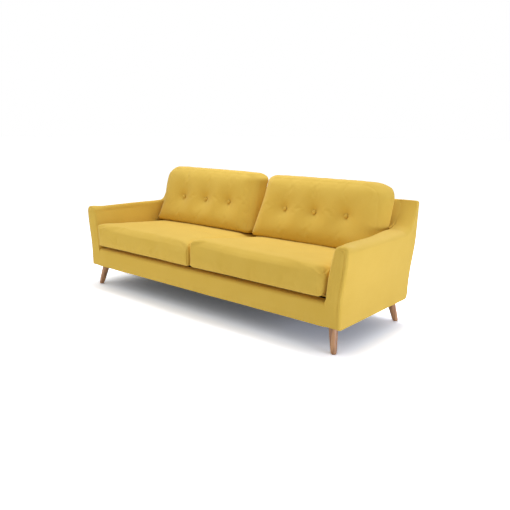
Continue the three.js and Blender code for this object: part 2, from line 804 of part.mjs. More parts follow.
const backPadReach = seatHalfWidth + armWidth / 2; // into the arms, before it is cut to them

function addBack() {
  addBackFrame();
  const envelope = armEnvelope(restGap);
  const envelopes = [envelope, mirrored(envelope)];
  addPiece("inside_back", insideBack(envelopes), mustardFabric);
  addPiece("outside_back", outsideBack(envelopes), mustardFabric);
}

// ---------------------------------------------------------------- cushions

const seatPlane = new THREE.Group();
seatPlane.position.z = deckHeight + restGap;
seatPlane.rotation.x = THREE.MathUtils.degToRad(-seatPitch);
sofa.add(seatPlane);

function seatCushion() {
  const width = seatHalfWidth - cushionSideGap - cushionGap / 2;
  const depth = backFaceAt(deckHeight) - seatRearGap + seatOverhang;
  const size = new THREE.Vector3(width, depth, seatThickness);
  const swell = (share) => Math.max(0, 1 - Math.abs(share) ** 2.6);
  const body = cushionBody(size, seatEdgeRound, [6, 6, 1], (point, share) => {
    const upper = Math.max(0, share.z);
    point.z += seatCrown * upper * swell(share.x) * swell(share.y);
  });
  return body.translate(
    (cushionGap + width) / 2, depth / 2 - seatOverhang, seatThickness / 2);
}

// Its own frame lies on the back's padded face: Z up that face, -Y straight out of it.
const backPlane = new THREE.Group();
backPlane.position.set(0, backFaceDepth - restGap, backFaceLevel);
backPlane.rotation.x = THREE.MathUtils.degToRad(-backRake);
sofa.add(backPlane);

// Thickness of a back cushion, from 0 at its foot to 1 at its top.
const backThicknessAt = (up) => THREE.MathUtils.lerp(backCushionFoot, backCushionTip, up);
const backFrontTilt = Math.atan((backCushionFoot - backCushionTip) / backCushionHeight);

function backCushion() {
  const width = seatHalfWidth - backCushionEndGap - cushionGap / 2;
  const size = new THREE.Vector3(width, backCushionFoot, backCushionHeight);
  const body = cushionBody(size, backCushionRound, [4, 1, 4], (point, share) => {
    const up = (share.z + 1) / 2;
    const forward = (1 - share.y) / 2;
    point.x += backCushionSpread * Math.max(0, share.x) * smooth(up * 1.8 - 0.5);
    point.x -= backCushionTaper * share.x * forward * up;
    point.y = (point.y - backCushionFoot / 2) * (backThicknessAt(up) / backCushionFoot);
    point.z += backCushionBow * Math.max(0, share.z) * (1 - share.x ** 2);
  });
  return body.translate((cushionGap + width) / 2, 0, backCushionHeight / 2);
}

// Turned about its own axis, then aimed out of the cushion's front face at the button row.
function atButton(profile, x, depth) {
  const turned = new THREE.LatheGeometry(
    profile.map(([radius, along]) => new THREE.Vector2(radius, along)), 16);
  const outwards = new THREE.Matrix4().makeRotationX(Math.PI - backFrontTilt);
  const face = -backThicknessAt(buttonRow / backCushionHeight);
  const inwards = new THREE.Vector3(0, Math.cos(backFrontTilt), -Math.sin(backFrontTilt));
  turned.applyMatrix4(outwards).translate(x, face, buttonRow);
  return turned.translate(...inwards.multiplyScalar(depth).toArray());
}

const buttonPlaces = Array.from(
  { length: buttonsPerCushion }, (_, i) => firstButton + i * buttonSpacing);

function dimple(x) {
  const mouth = 6; // past the cushion's face
  const floor = buttonRadius + 2;
  const profile = [[0, 0], [floor, 0], [dimpleRadius, dimpleDepth + mouth], [0, dimpleDepth + mouth]];
  return atButton(profile, x, dimpleDepth);
}

function button(x) {
  const rim = buttonThickness * 0.35;
  const shoulder = buttonThickness * 0.8;
  const profile = [
    [0, 0],
    [buttonRadius - 1, 0],
    [buttonRadius, rim],
    [buttonRadius * 0.72, shoulder],
    [0, buttonThickness],
  ];
  return atButton(profile, x, dimpleDepth - restGap);
}

// How far the corners of two meshes let one move along a direction before they meet.
function clearance(mesh, other, direction) {
  sofa.updateMatrixWorld(true);
  const caster = new THREE.Raycaster();
  const point = new THREE.Vector3();
  let least = Infinity;
  for (const [from, to, heading] of [
    [mesh, other, direction],
    [other, mesh, direction.clone().negate()],
  ]) {
    const { position } = from.geometry.attributes;
    for (let i = 0; i < position.count; i += 1) {
      point.fromBufferAttribute(position, i).applyMatrix4(from.matrixWorld);
      caster.set(point, heading);
      const hit = caster.intersectObject(to, false)[0];
      least = Math.min(least, hit ? hit.distance : Infinity);
    }
  }
  return least;
}

function overlap(mesh, other) {
  sofa.updateMatrixWorld(true);
  const [first, second] = [mesh, other].map((piece) =>
    solidOf(piece.geometry.clone().applyMatrix4(piece.matrixWorld)));
  return first.intersect(second).volume();
}

function addCushions() {
  const seat = seatCushion();
  const back = cut(backCushion(), buttonPlaces.map(dimple));
  const seats = sides.map((side) =>
    addPiece(`seat_cushion_${side.name}`, onSide(seat, side), mustardFabric, seatPlane));
  const startLift = 150; // well above the seat cushions
  backPlane.translateZ(startLift);
  const backs = sides.map((side) =>
    addPiece(`back_cushion_${side.name}`, onSide(back, side), mustardFabric, backPlane));
  const down = new THREE.Vector3(0, 0, -1).applyQuaternion(backPlane.quaternion);
  backPlane.translateZ(-clearance(backs[1], seats[1], down));
  while (overlap(backs[1], seats[1]) > 0) {
    backPlane.translateZ(restGap / 2);
  }
  backPlane.translateZ(restGap / 2);
  for (const side of sides) {
    buttonPlaces.forEach((x, i) => {
      const name = `back_button_${side.name}_${i + 1}`;
      addPiece(name, onSide(button(x), side), buttonFabric, backPlane);
    });
  }
}

// ---------------------------------------------------------------- the sofa

addSeatFrame();
addLegs();
addArms();
addSeatWebbing();
addSeatDeck();
addFrontBorder();
addDustCover();
addBack();
addCushions();

// The origin is on the floor, below the middle of the whole sofa.
const extent = new THREE.Box3().setFromObject(sofa, true);
sofa.position.y = -(extent.min.y + extent.max.y) / 2;

export default sofa;
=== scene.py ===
"""The finish of a two-cushion sofa: cloth cover, filled cushions, turned legs and a plain studio.

Metres. X runs along the sofa, Y from its front to its rear and Z up. Left and right are those of
a person who stands in front of the sofa and looks at it.
"""

import json
import logging
import math
from dataclasses import dataclass, field
from enum import Enum
from typing import Any, Callable, Iterator, Mapping, Sequence

import bpy
import numpy as np
from mathutils import Matrix, Vector, noise


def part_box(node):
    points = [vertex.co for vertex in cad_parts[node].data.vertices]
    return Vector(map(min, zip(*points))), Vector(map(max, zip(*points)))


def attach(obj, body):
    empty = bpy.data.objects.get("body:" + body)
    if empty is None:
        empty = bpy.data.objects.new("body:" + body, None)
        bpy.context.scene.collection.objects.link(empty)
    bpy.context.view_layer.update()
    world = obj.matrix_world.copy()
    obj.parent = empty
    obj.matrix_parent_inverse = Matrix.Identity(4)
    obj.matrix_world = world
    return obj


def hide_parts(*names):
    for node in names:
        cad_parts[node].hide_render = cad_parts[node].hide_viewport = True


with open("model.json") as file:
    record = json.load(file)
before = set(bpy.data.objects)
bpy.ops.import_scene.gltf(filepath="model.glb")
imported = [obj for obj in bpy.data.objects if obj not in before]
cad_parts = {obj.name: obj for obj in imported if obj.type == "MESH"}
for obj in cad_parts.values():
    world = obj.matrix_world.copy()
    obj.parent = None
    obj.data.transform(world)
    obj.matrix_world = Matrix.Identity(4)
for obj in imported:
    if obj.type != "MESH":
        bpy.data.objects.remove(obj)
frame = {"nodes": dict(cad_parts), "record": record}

log = logging.getLogger("sofa")
Color = tuple[float, float, float]
Triple = tuple[float, float, float]
Pair = tuple[float, float]
SMALLEST = 1e-9


class Side(Enum):
    """One half of the sofa. The value is the sign of its X."""

    LEFT = -1
    RIGHT = 1

    @property
    def word(self) -> str:
        """The side's name as the nodes spell it."""
        return self.name.lower()

    @property
    def index(self) -> int:
        """The side's place in a (left, right) pair of sizes."""
        return int(self is Side.RIGHT)


class Face(Enum):
    """A face of a block: the axis that it looks along and the sign of its direction."""

    LEFT = (0, -1)
    RIGHT = (0, 1)
    FRONT = (1, -1)
    REAR = (1, 1)
    UNDER = (2, -1)
    TOP = (2, 1)


# ---------------------------------------------------------------- shader maths


class Wire:
    """A socket in a node tree that Python's operators can work on."""

    def __init__(self, board: "Board", socket: bpy.types.NodeSocket) -> None:
        """Wraps an output socket of one of a board's nodes."""
        self.board = board
        self.socket = socket

    @property
    def is_vector(self) -> bool:
        """Whether the socket carries three numbers."""
        return self.socket.type in ("VECTOR", "RGBA")

    def _combine(self, operation: str, first: Any, second: Any = None) -> "Wire":
        """Adds the Math or Vector Math node that an operator stands for.

        Args:
            operation: The node's operation.
            first: Its first operand.
            second: Its second operand, if it takes one.

        Returns:
            The node's result.
        """
        vector = any(isinstance(x, Wire) and x.is_vector for x in (first, second))
        kind = "ShaderNodeVectorMath" if vector else "ShaderNodeMath"
        operands = {0: first} if second is None else {0: first, 1: second}
        if vector:
            operands = {key: self._triple(value) for key, value in operands.items()}
        return self.board.add(kind, {"operation": operation}, operands)

    @staticmethod
    def _triple(value: Any) -> Any:
        """A plain number as a vector of three; anything else as it is."""
        return (value,) * 3 if isinstance(value, (int, float)) else value

    def __add__(self, other: Any) -> "Wire":
        """self + other."""
        return self._combine("ADD", self, other)

    __radd__ = __add__

    def __sub__(self, other: Any) -> "Wire":
        """self - other."""
        return self._combine("SUBTRACT", self, other)

    def __rsub__(self, other: Any) -> "Wire":
        """other - self."""
        return self._combine("SUBTRACT", other, self)

    def __mul__(self, other: Any) -> "Wire":
        """self * other."""
        return self._combine("MULTIPLY", self, other)

    __rmul__ = __mul__

    def sine(self) -> "Wire":
        """The sine of each number."""
        return self._combine("SINE", self)

    def apart(self) -> tuple["Wire", "Wire", "Wire"]:
        """The three numbers of a vector, each on a wire of its own."""
        node = self.board.add("ShaderNodeSeparateXYZ", {}, {0: self}).socket.node
        return tuple(Wire(self.board, output) for output in node.outputs)

    def between(self, low: float, high: float) -> "Wire":
        """A smooth step up.

        Args:
            low: The value below which it is 0.
            high: The value above which it is 1.

        Returns:
            The step.
        """
        settings = {"interpolation_type": "SMOOTHSTEP"}
        sockets = {"Value": self, "From Min": low, "From Max": high}
        return self.board.add("ShaderNodeMapRange", settings, sockets)


class Board:
    """A node tree to build on, with one shader to feed."""

    def __init__(
        self, owner: bpy.types.Material | bpy.types.World, shader: str = "Principled BSDF"
    ) -> None:
        """Opens a tree.

        Args:
            owner: The material or the world that the tree belongs to.
            shader: The name of the shader that is fed.
        """
        owner.use_nodes = True
        self.tree = owner.node_tree
        self.surface = self.tree.nodes[shader]

    def add(
        self,
        kind: str,
        settings: Mapping[str, Any] | None = None,
        sockets: Mapping[str | int, Any] | None = None,
        output: str | int = 0,
    ) -> Wire:
        """Adds a node.

        Args:
            kind: The node's type.
            settings: Its properties, which are set first.
            sockets: Values or wires for its inputs, by name or number.
            output: The output that is wanted.

        Returns:
            That output.
        """
        node = self.tree.nodes.new(kind)
        for key, value in (settings or {}).items():
            setattr(node, key, value)
        for key, value in (sockets or {}).items():
            self.plug(node.inputs[key], value)
        return Wire(self, node.outputs[output])

    def plug(self, socket: bpy.types.NodeSocket, value: Any) -> None:
        """Links a wire to an input, or sets the input to a plain value.

        Args:
            socket: The input.
            value: The wire or the value.
        """
        if isinstance(value, Wire):
            self.tree.links.new(value.socket, socket)
        elif socket.type == "RGBA" and len(value) == 3:
            socket.default_value = (*value, 1.0)
        else:
            socket.default_value = value

    def set(self, name: str, value: Any) -> None:
        """Feeds one input of the shader with a wire or a plain value."""
        self.plug(self.surface.inputs[name], value)

    def coordinates(self) -> Wire:
        """The place on the piece, in metres."""
        return self.add("ShaderNodeTexCoord", output="Object")

    def blend(self, share: Any, first: Any, second: Any) -> Wire:
        """Mixes two colours, from the first at a share of 0 to the second at 1."""
        settings = {"data_type": "RGBA", "blend_type": "MIX"}
        return self.add("ShaderNodeMix", settings, {0: share, 6: first, 7: second}, 2)

    def clouds(self, where: Any, scale: float, detail: float = 2.0) -> Wire:
        """Soft random values around one half, with `scale` patches in a metre."""
        sockets = {"Vector": where, "Scale": scale, "Detail": detail}
        return self.add("ShaderNodeTexNoise", {}, sockets)

    def raise_surface(self, height: Wire, depth: float, strength: float) -> None:
        """Bumps the surface by a relief whose height of 1 stands for a depth in metres."""
        sockets = {"Strength": strength, "Distance": depth, "Height": height}
        self.set("Normal", self.add("ShaderNodeBump", {}, sockets))


# ---------------------------------------------------------------- finishes


@dataclass(frozen=True)
class Finish:
    """A plain finish that the others build on."""

    name: str
    color: Color
    roughness: float = 0.8

    def material(self) -> bpy.types.Material:
        """Builds the material.

        Returns:
            The material.
        """
        material = bpy.data.materials.new(self.name)
        board = Board(material)
        board.set("Base Color", self.color)
        board.set("Roughness", self.roughness)
        self.dress(board)
        return material

    def dress(self, board: Board) -> None:
        """Adds what makes this finish its own; a plain finish adds nothing."""


@dataclass(frozen=True)
class WovenCloth(Finish):
    """Plain-woven upholstery cloth with a faint pile, with painted shade in its weave and patches
    of painted pile shading.
    """

    # The darker colour that the random mottle reaches; the painted shade of the weave's hollows and
    # the painted pile shading also draw on it.
    shade: Color = (0.55, 0.33, 0.05)
    thread: float = 0.0024
    thread_depth: float = 0.0004
    mottle: float = 0.10
    yarns_per_metre: float = 420.0
    yarn_relief: float = 0.6
    # Strength and size of the painted pile shading: soft patches made lighter and darker as if
    # light caught the pile.
    nap: float = 0.12
    patches_per_metre: float = 7.0
    # Share of painted shade laid into the weave's hollows, where the threads dip under.
    thread_shade: float = 0.16
    thread_gloss: float = 0.08
    tone_range: Pair = (-0.35, 0.65)
    sheen: float = 0.25
    sheen_roughness: float = 0.4
    sheen_tint: Color = (1.0, 0.92, 0.7)
    gloss: float = 0.1
    relief: float = 0.5
    thread_wave: float = 0.5

    def weave(self, board: Board, place: Wire) -> Wire:
        """The relief of over-and-under threads, laid on whichever way a surface faces.

        Args:
            board: The board to build on.
            place: The place on the piece.

        Returns:
            The relief, from 0 to 1.
        """
        turn = math.tau / self.thread / 2
        waves = (place * turn).sine().apart()
        facing = board.add("ShaderNodeTexCoord", output="Normal")
        weights = (facing * facing).apart()
        relief = 0.5
        for axis, weight in enumerate(weights):
            across, along = waves[axis - 2], waves[axis - 1]
            relief = across * along * weight * self.thread_wave + relief
        return relief

    def dress(self, board: Board) -> None:
        """Adds thread relief, mottling, painted shade in the weave's hollows, patches of painted
        pile shading and a soft sheen.

        Args:
            board: The board to build on.
        """
        place = board.coordinates()
        weave = self.weave(board, place)
        yarn = board.clouds(place, self.yarns_per_metre, 1.0)
        patches = board.clouds(place, self.patches_per_metre, 3.0)
        # The fine yarn mottle is the cloth's own colour; the larger patches are painted pile
        # shading.
        mottle_and_pile_shade = (yarn - 0.5) * self.mottle * 2 + (patches - 0.5) * self.nap * 2
        # The weave's hollows take painted shade on top of the mottle and the painted pile shading.
        share = (mottle_and_pile_shade + (1 - weave) * self.thread_shade).between(*self.tone_range)
        board.set("Base Color", board.blend(share, self.color, self.shade))
        board.set("Roughness", self.roughness - weave * self.thread_gloss)
        board.set("Sheen Weight", self.sheen)
        board.set("Sheen Roughness", self.sheen_roughness)
        board.set("Sheen Tint", self.sheen_tint)
        board.set("Specular IOR Level", self.gloss)
        board.raise_surface(weave + yarn * self.yarn_relief, self.thread_depth, self.relief)


@dataclass(frozen=True)
class Wood(Finish):
    """Wood with its grain along one axis."""

    dark: Color = (0.2, 0.1, 0.05)
    grain_axis: int = 2
    grain: float = 55.0
    stretch: float = 14.0
    varnish: float = 0.0
    varnish_roughness: float = 0.25
    contrast: float = 0.8
    streak_range: Pair = (0.36, 0.66)
    streak_gloss: float = 0.12
    wander_scale: float = 0.35
    wander_reach: float = 0.03
    pore_scale: float = 9.0
    pore_range: Pair = (0.56, 0.7)
    pore_shade: float = 0.22
    pore_depth: float = 0.5
    relief: Pair = (0.0006, 0.35)

    def dress(self, board: Board) -> None:
        """Adds streaks of grain and pores.

        Args:
            board: The board to build on.
        """
        scale = [1.0, 1.0, 1.0]
        scale[self.grain_axis] = 1 / self.stretch
        place = board.coordinates() * tuple(scale)
        wander = board.clouds(place, self.grain * self.wander_scale, 2.0)
        streaks = board.clouds(place + wander * self.wander_reach, self.grain, 5.0)
        pores = board.clouds(place, self.grain * self.pore_scale, 1.0).between(*self.pore_range)
        share = streaks.between(*self.streak_range) * self.contrast + pores * self.pore_shade
        board.set("Base Color", board.blend(share, self.color, self.dark))
        board.set("Roughness", self.roughness + (streaks - 0.5) * self.streak_gloss)
        board.set("Coat Weight", self.varnish)
        board.set("Coat Roughness", self.varnish_roughness)
        board.raise_surface(streaks - pores * self.pore_depth, *self.relief)


@dataclass(frozen=True)
class Plies(Finish):
    """Plywood whose thin layers show on its cut edges."""

    dark: Color = (0.35, 0.22, 0.1)
    ply: float = 0.003
    ply_shade: float = 0.45
    ply_edge: Pair = (-0.3, 0.3)
    grain: float = 90.0
    grain_range: Pair = (0.4, 0.7)
    grain_shade: float = 0.35
    grain_stretch: Triple = (1.0, 1.0, 0.1)
    relief: Pair = (0.0003, 0.4)

    def dress(self, board: Board) -> None:
        """Adds the layers and a little grain.

        Args:
            board: The board to build on.
        """
        place = board.coordinates()
        layers = (place.apart()[1] * (math.tau / self.ply / 2)).sine().between(*self.ply_edge)
        grain = board.clouds(place * self.grain_stretch, self.grain, 4.0)
        share = layers * self.ply_shade + grain.between(*self.grain_range) * self.grain_shade
        board.set("Base Color", board.blend(share, self.color, self.dark))
        board.raise_surface(layers, *self.relief)


@dataclass(frozen=True)
class Webbing(Finish):
    """Elastic webbing: ribs across the strap with lighter threads."""

    rib: float = 0.004
    pale: Color = (0.2, 0.18, 0.16)
    rib_range: Pair = (0.55, 0.95)
    relief: Pair = (0.0006, 0.7)

    def dress(self, board: Board) -> None:
        """Adds ribs and threads.

        Args:
            board: The board to build on.
        """
        waves = (board.coordinates() * (math.tau / self.rib)).sine().apart()
        ribs = waves[0] * 0.25 + waves[1] * waves[2] * 0.25 + 0.5
        board.set("Base Color", board.blend(ribs.between(*self.rib_range), self.color, self.pale))
        board.raise_surface(ribs, *self.relief)


@dataclass(frozen=True)
class Felted(Finish):
    """Thin non-woven lining with a random fibre pattern."""

    pale: Color = (0.05, 0.05, 0.05)
    fibres_per_metre: float = 300.0
    fibre_stretch: Triple = (1.0, 0.4, 1.0)
    fibre_range: Pair = (0.4, 0.75)
    relief: Pair = (0.0004, 0.5)

    def dress(self, board: Board) -> None:
        """Adds the fibres.

        Args:
            board: The board to build on.
        """
        place = board.coordinates()
        fibres = board.clouds(place * self.fibre_stretch, self.fibres_per_metre, 3.0)
        share = fibres.between(*self.fibre_range)
        board.set("Base Color", board.blend(share, self.color, self.pale))
        board.raise_surface(fibres, *self.relief)


@dataclass(frozen=True)
class Plated(Finish):
    """Zinc-plated steel with faint streaks."""

    streaks_per_metre: float = 400.0
    streak_stretch: Triple = (1.0, 1.0, 0.1)
    streak_gloss: float = 0.25
    relief: Pair = (0.0001, 0.3)

    def dress(self, board: Board) -> None:
        """Makes it metal and streaks it.

        Args:
            board: The board to build on.
        """
        place = board.coordinates() * self.streak_stretch
        streaks = board.clouds(place, self.streaks_per_metre)
        board.set("Metallic", 1.0)
        board.set("Roughness", streaks * self.streak_gloss + self.roughness)
        board.raise_surface(streaks, *self.relief)


@dataclass(frozen=True)
class Moulded(Finish):
    """Plastic with a fine eggshell surface."""

    grains_per_metre: float = 900.0
    grain_shade: float = 0.3
    dark_share: float = 0.6
    relief: Pair = (0.0002, 0.4)

    def dress(self, board: Board) -> None:
        """Adds the eggshell grain.

        Args:
            board: The board to build on.
        """
        grain = board.clouds(board.coordinates(), self.grains_per_metre)
        dark = tuple(share * self.dark_share for share in self.color)
        board.set("Base Color", board.blend(grain * self.grain_shade, self.color, dark))
        board.raise_surface(grain, *self.relief)


def linear(red: int, green: int, blue: int) -> Color:
    """A colour on a screen's scale of 0 to 255 as the linear shares that a shader takes."""
    shares = [value / 255 for value in (red, green, blue)]
    return tuple(s / 12.92 if s <= 0.04045 else ((s + 0.055) / 1.055) ** 2.4 for s in shares)


FINISHES: dict[str, Finish] = {
    "mustard_fabric": WovenCloth("mustard_cloth", linear(233, 198, 94), 0.92, linear(211, 169, 58)),
    # The buttons take the cover's cloth made a little darker: painted shade for the hollows they
    # sit in.
    "button_fabric": WovenCloth("button_cloth", linear(228, 192, 88), 0.92, linear(204, 160, 54)),
    "leg_wood": Wood(
        "oiled_leg_wood", linear(203, 152, 106), 0.48, linear(150, 102, 68), varnish=0.2),
    "frame_timber": Wood(
        "planed_softwood", linear(217, 189, 143), 0.75, linear(176, 138, 92), 0, 30.0, 20.0),
    "former_plywood": Plies("birch_plywood", linear(210, 178, 128), 0.75, linear(160, 122, 78)),
    "elastic_webbing": Webbing(
        "elastic_webbing", linear(52, 48, 44), 0.85, pale=linear(110, 102, 92)),
    "lining_cloth": Felted("black_lining", linear(26, 25, 24), 0.95, linear(58, 56, 54)),
    "bolt_steel": Plated("zinc_steel", linear(186, 189, 194), 0.3),
    "glide_plastic": Moulded("glide_plastic", linear(74, 60, 48), 0.55),
}


class Wardrobe:
    """Makes each finish once and hands it out by its slot's name."""

    def __init__(self) -> None:
        """Starts with nothing made."""
        self.made: dict[str, bpy.types.Material] = {}

    def material(self, slot: str) -> bpy.types.Material:
        """The material of a slot.

        Args:
            slot: The slot's name in the record.

        Returns:
            The material.
        """
        if slot not in self.made:
            self.made[slot] = FINISHES[slot].material()
        return self.made[slot]


wardrobe = Wardrobe()


# ---------------------------------------------------------------- meshes


def smooth(share: Any) -> Any:
    """A smooth step that is 0 below 0 and 1 above 1, for a number or an array."""
    t = np.clip(share, 0.0, 1.0)
    return t * t * (3 - 2 * t)


def eased(share: float) -> float:
    """The same smooth step as a plain number."""
    return float(smooth(share))


def clamp(share: float) -> float:
    """A share kept between 0 and 1."""
    return min(1.0, max(0.0, share))


def quarter(steps: int) -> list[float]:
    """The angles from nothing to a quarter turn, in equal steps."""
    return [math.pi / 2 * i / steps for i in range(steps + 1)]


def arc_inset(distance: float, radius: float) -> float:
    """How far a round edge has drawn in, at a distance from the plane it curves into."""
    left = max(0.0, radius - distance)
    return radius - math.sqrt(max(0.0, radius * radius - left * left))


@dataclass
class Skin:
    """Points and faces that are gathered into one mesh."""

    points: list[Triple] = field(default_factory=list)
    faces: list[tuple[int, ...]] = field(default_factory=list)
    sharp_degrees: float = 50.0

    def add_points(self, points: Sequence[Sequence[float]]) -> int:
        """Adds points.

        Args:
            points: Their places.

        Returns:
            The number of the first one.
        """
        first = len(self.points)
        self.points.extend(tuple(float(c) for c in p) for p in points)
        return first

    def add_rings(self, rings: Sequence[Sequence[Sequence[float]]], around: bool) -> list[int]:
        """Adds rows of points with quads between them.

        Args:
            rings: Rows with equal numbers of points.
            around: Whether each row closes on itself.

        Returns:
            The number of each row's first point.
        """
        starts = [self.add_points(ring) for ring in rings]
        count = len(rings[0])
        for low, high in zip(starts, starts[1:]):
            for i in range(count if around else count - 1):
                j = (i + 1) % count
                self.faces.append((low + i, low + j, high + j, high + i))
        return starts

    def cap(self, start: int, count: int, flip: bool = False) -> None:
        """Closes a ring with one face, which may be turned the other way."""
        ring = range(start, start + count)
        self.faces.append(tuple(reversed(ring)) if flip else tuple(ring))

    def close_ring(self, start: int, count: int, flip: bool) -> None:
        """Closes a ring by joining the points that face each other across it.

        Args:
            start: The ring's first point.
            count: How many points it has.
            flip: Whether the faces turn the other way.
        """
        for i in range((count - 1) // 2):
            j = count - 1 - i
            quad = [start + i, start + i + 1, start + j - 1, start + j]
            corners = tuple(dict.fromkeys(quad))
            if len(corners) > 2:
                self.faces.append(corners[::-1] if flip else corners)

    def build(self, name: str, slot: str) -> bpy.types.Object:
        """Makes the mesh object.

        Args:
            name: The object's name.
            slot: The material slot that it takes its finish from.

        Returns:
            The object, in the scene.
        """
        mesh = bpy.data.meshes.new(name)
        mesh.from_pydata(self.points, [], self.faces)
        mesh.validate()
        mesh.polygons.foreach_set("use_smooth", [True] * len(mesh.polygons))
        mesh.set_sharp_from_angle(angle=math.radians(self.sharp_degrees))
        mesh.materials.append(wardrobe.material(slot))
        piece = bpy.data.objects.new(name, mesh)
        bpy.context.scene.collection.objects.link(piece)
        return piece


def vertex_rows(piece: bpy.types.Object, kind: str = "co") -> np.ndarray:
    """The places of a mesh's vertices, or another of their vectors.

    Args:
        piece: The mesh object.
        kind: What is read: "co" for the places, "normal" for the normals.

    Returns:
        One row for each vertex.
    """
    flat = np.empty(len(piece.data.vertices) * 3)
    piece.data.vertices.foreach_get(kind, flat)
    return flat.reshape(-1, 3)


def place_vertices(piece: bpy.types.Object, places: np.ndarray) -> None:
    """Moves a mesh's vertices to new places, one row each."""
    piece.data.vertices.foreach_set("co", places.ravel())
    piece.data.update()


def face_out(piece: bpy.types.Object) -> None:
    """Turns every face of a closed mesh over if they look inwards.

    Args:
        piece: The mesh object.
    """
    mesh = piece.data
    mesh.calc_loop_triangles()
    places = vertex_rows(piece)
    corners = np.empty(len(mesh.loop_triangles) * 3, dtype=np.int64)
    mesh.loop_triangles.foreach_get("vertices", corners)
    a, b, c = (places[corners.reshape(-1, 3)[:, i]] for i in range(3))
    if np.einsum("ij,ij->i", a, np.cross(b, c)).sum() < 0:
        mesh.flip_normals()


def mirrored(piece: bpy.types.Object, name: str) -> bpy.types.Object:
    """A copy of a piece on the other side of the sofa's middle.

    Args:
        piece: The piece to copy.
        name: The copy's name.

    Returns:
        The copy.
    """
    twin = piece.copy()
    twin.data = piece.data.copy()
    twin.name = name
    bpy.context.scene.collection.objects.link(twin)
    places = vertex_rows(twin)
    places[:, 0] *= -1
    place_vertices(twin, places)
    twin.data.flip_normals()
    return twin


def ripple(piece: bpy.types.Object, height: float, lengths: Triple, seed: float) -> None:
    """Moves a surface in and out a little, as cloth over wadding lies.

    Args:
        piece: The piece.
        height: The most that a point moves.
        lengths: The size of one swell along each axis.
        seed: What makes this piece's pattern its own.
    """
    places = vertex_rows(piece)
    shift = Vector((seed, seed * 0.7, seed * 1.3))
    swell = [noise.noise(Vector(p) + shift) for p in places / np.array(lengths)]
    places += vertex_rows(piece, "normal") * np.array(swell)[:, None] * height
    place_vertices(piece, places)


# ---------------------------------------------------------------- the body of the sofa


@dataclass
class Body:
    """The upholstered body's shared form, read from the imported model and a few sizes."""

    inner_flare_height: float = 0.300
    inner_flare: float = 0.050
    inner_flare_rear: float = 0.006
    outer_flare_height: float = 0.245
    outer_flare_rise: float = 0.300
    outer_flare: float = 0.030
    outer_flare_rear: float = 0.020
    fade_start: float = 0.300
    fade_length: float = 0.320
    arm_height: float = 0.580
    arm_top_round: float = 0.038
    back_end_round: float = 0.018
    sweep_length: float = 0.085
    back_end_depth: float = 0.036
    wing_round: float = 0.020
    rear_tuck: float = 0.031
    rear_tuck_height: float = 0.075
    lean_degrees: float = 3.7
    lean_height: float = 0.230
    roll_rise: float = 0.004
    flare_power: float = 1.7

    def __post_init__(self) -> None:
        """Reads the planes that everything is measured from."""
        low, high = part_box("right_arm_upholstery")
        self.front = low.y
        self.base = low.z
        self.seat_half = low.x
        self.foot_reach = high.x - self.outer_flare
        self.back_height = high.z + self.roll_rise
        self.depth = high.y - self.front - self.lean(self.back_height)
        self.sweep_start = self.depth - self.back_end_depth - self.sweep_length

    def lean(self, height: float) -> float:
        """How far the back's lean carries a point to the rear at a height."""
        return max(0.0, height - self.lean_height) * math.tan(math.radians(self.lean_degrees))

    def arm_top(self, depth: float) -> float:
        """Height of an arm's top: level, then a hollow sweep up into the back.

        Args:
            depth: From the front plane.

        Returns:
            The height.
        """
        share = clamp((depth - self.sweep_start) / self.sweep_length)
        rise = (self.back_height - self.arm_height) * (1 - math.sqrt(1 - share * share))
        past = depth - self.sweep_start - self.sweep_length
        return self.arm_height + rise - arc_inset(past, self.wing_round) * (share >= 1.0)

    def wing_face(self, height: float) -> float:
        """Y of the hollow face where an arm sweeps up into the back.

        Args:
            height: Above the floor.

        Returns:
            The Y.
        """
        share = clamp((self.back_height - height) / (self.back_height - self.arm_height))
        depth = self.sweep_start + self.sweep_length * math.sqrt(1 - share * share)
        depth += arc_inset(self.back_height - height, self.wing_round)
        return self.leaned(0.0, depth, height)[1]

    def fade(self, depth: float) -> float:
        """How far the arms' lean has changed from the front's to the rear's."""
        return eased((depth - self.fade_start) / self.fade_length)

    def inner(self, height: float, depth: float) -> float:
        """Distance from the middle to an arm's inner face.

        Args:
            height: Above the floor.
            depth: From the front plane.

        Returns:
            The distance.
        """
        rise = self.arm_height - self.inner_flare_height
        share = clamp((height - self.inner_flare_height) / rise)
        flare = self.inner_flare + (self.inner_flare_rear - self.inner_flare) * self.fade(depth)
        return self.seat_half + flare * share**self.flare_power

    def outer(self, height: float, depth: float) -> float:
        """Distance from the middle to an arm's outer face.

        Args:
            height: Above the floor.
            depth: From the front plane.

        Returns:
            The distance.
        """
        flare = self.outer_flare + (self.outer_flare_rear - self.outer_flare) * self.fade(depth)
        share = (height - self.outer_flare_height) / self.outer_flare_rise
        return self.foot_reach + flare * eased(share)

    def underside(self, depth: float) -> float:
        """Height of the underside, tucked up at the rear."""
        tuck = clamp((depth - self.depth + self.rear_tuck) / self.rear_tuck)
        return self.base + self.rear_tuck_height * tuck * tuck

    def rear(self, height: float) -> float:
        """Depth of the rear face at a height."""
        drop = clamp(1 - (height - self.base) / self.rear_tuck_height)
        return self.depth - self.rear_tuck * (1 - math.sqrt(1 - drop)) + self.lean(height)

    def leaned(self, x: float, depth: float, height: float) -> Triple:
        """A point of an arm, moved back with the lean of the sofa's back."""
        share = eased((depth - self.sweep_start) / (self.sweep_length / 2))
        return x, self.front + depth + self.lean(height) * share, height


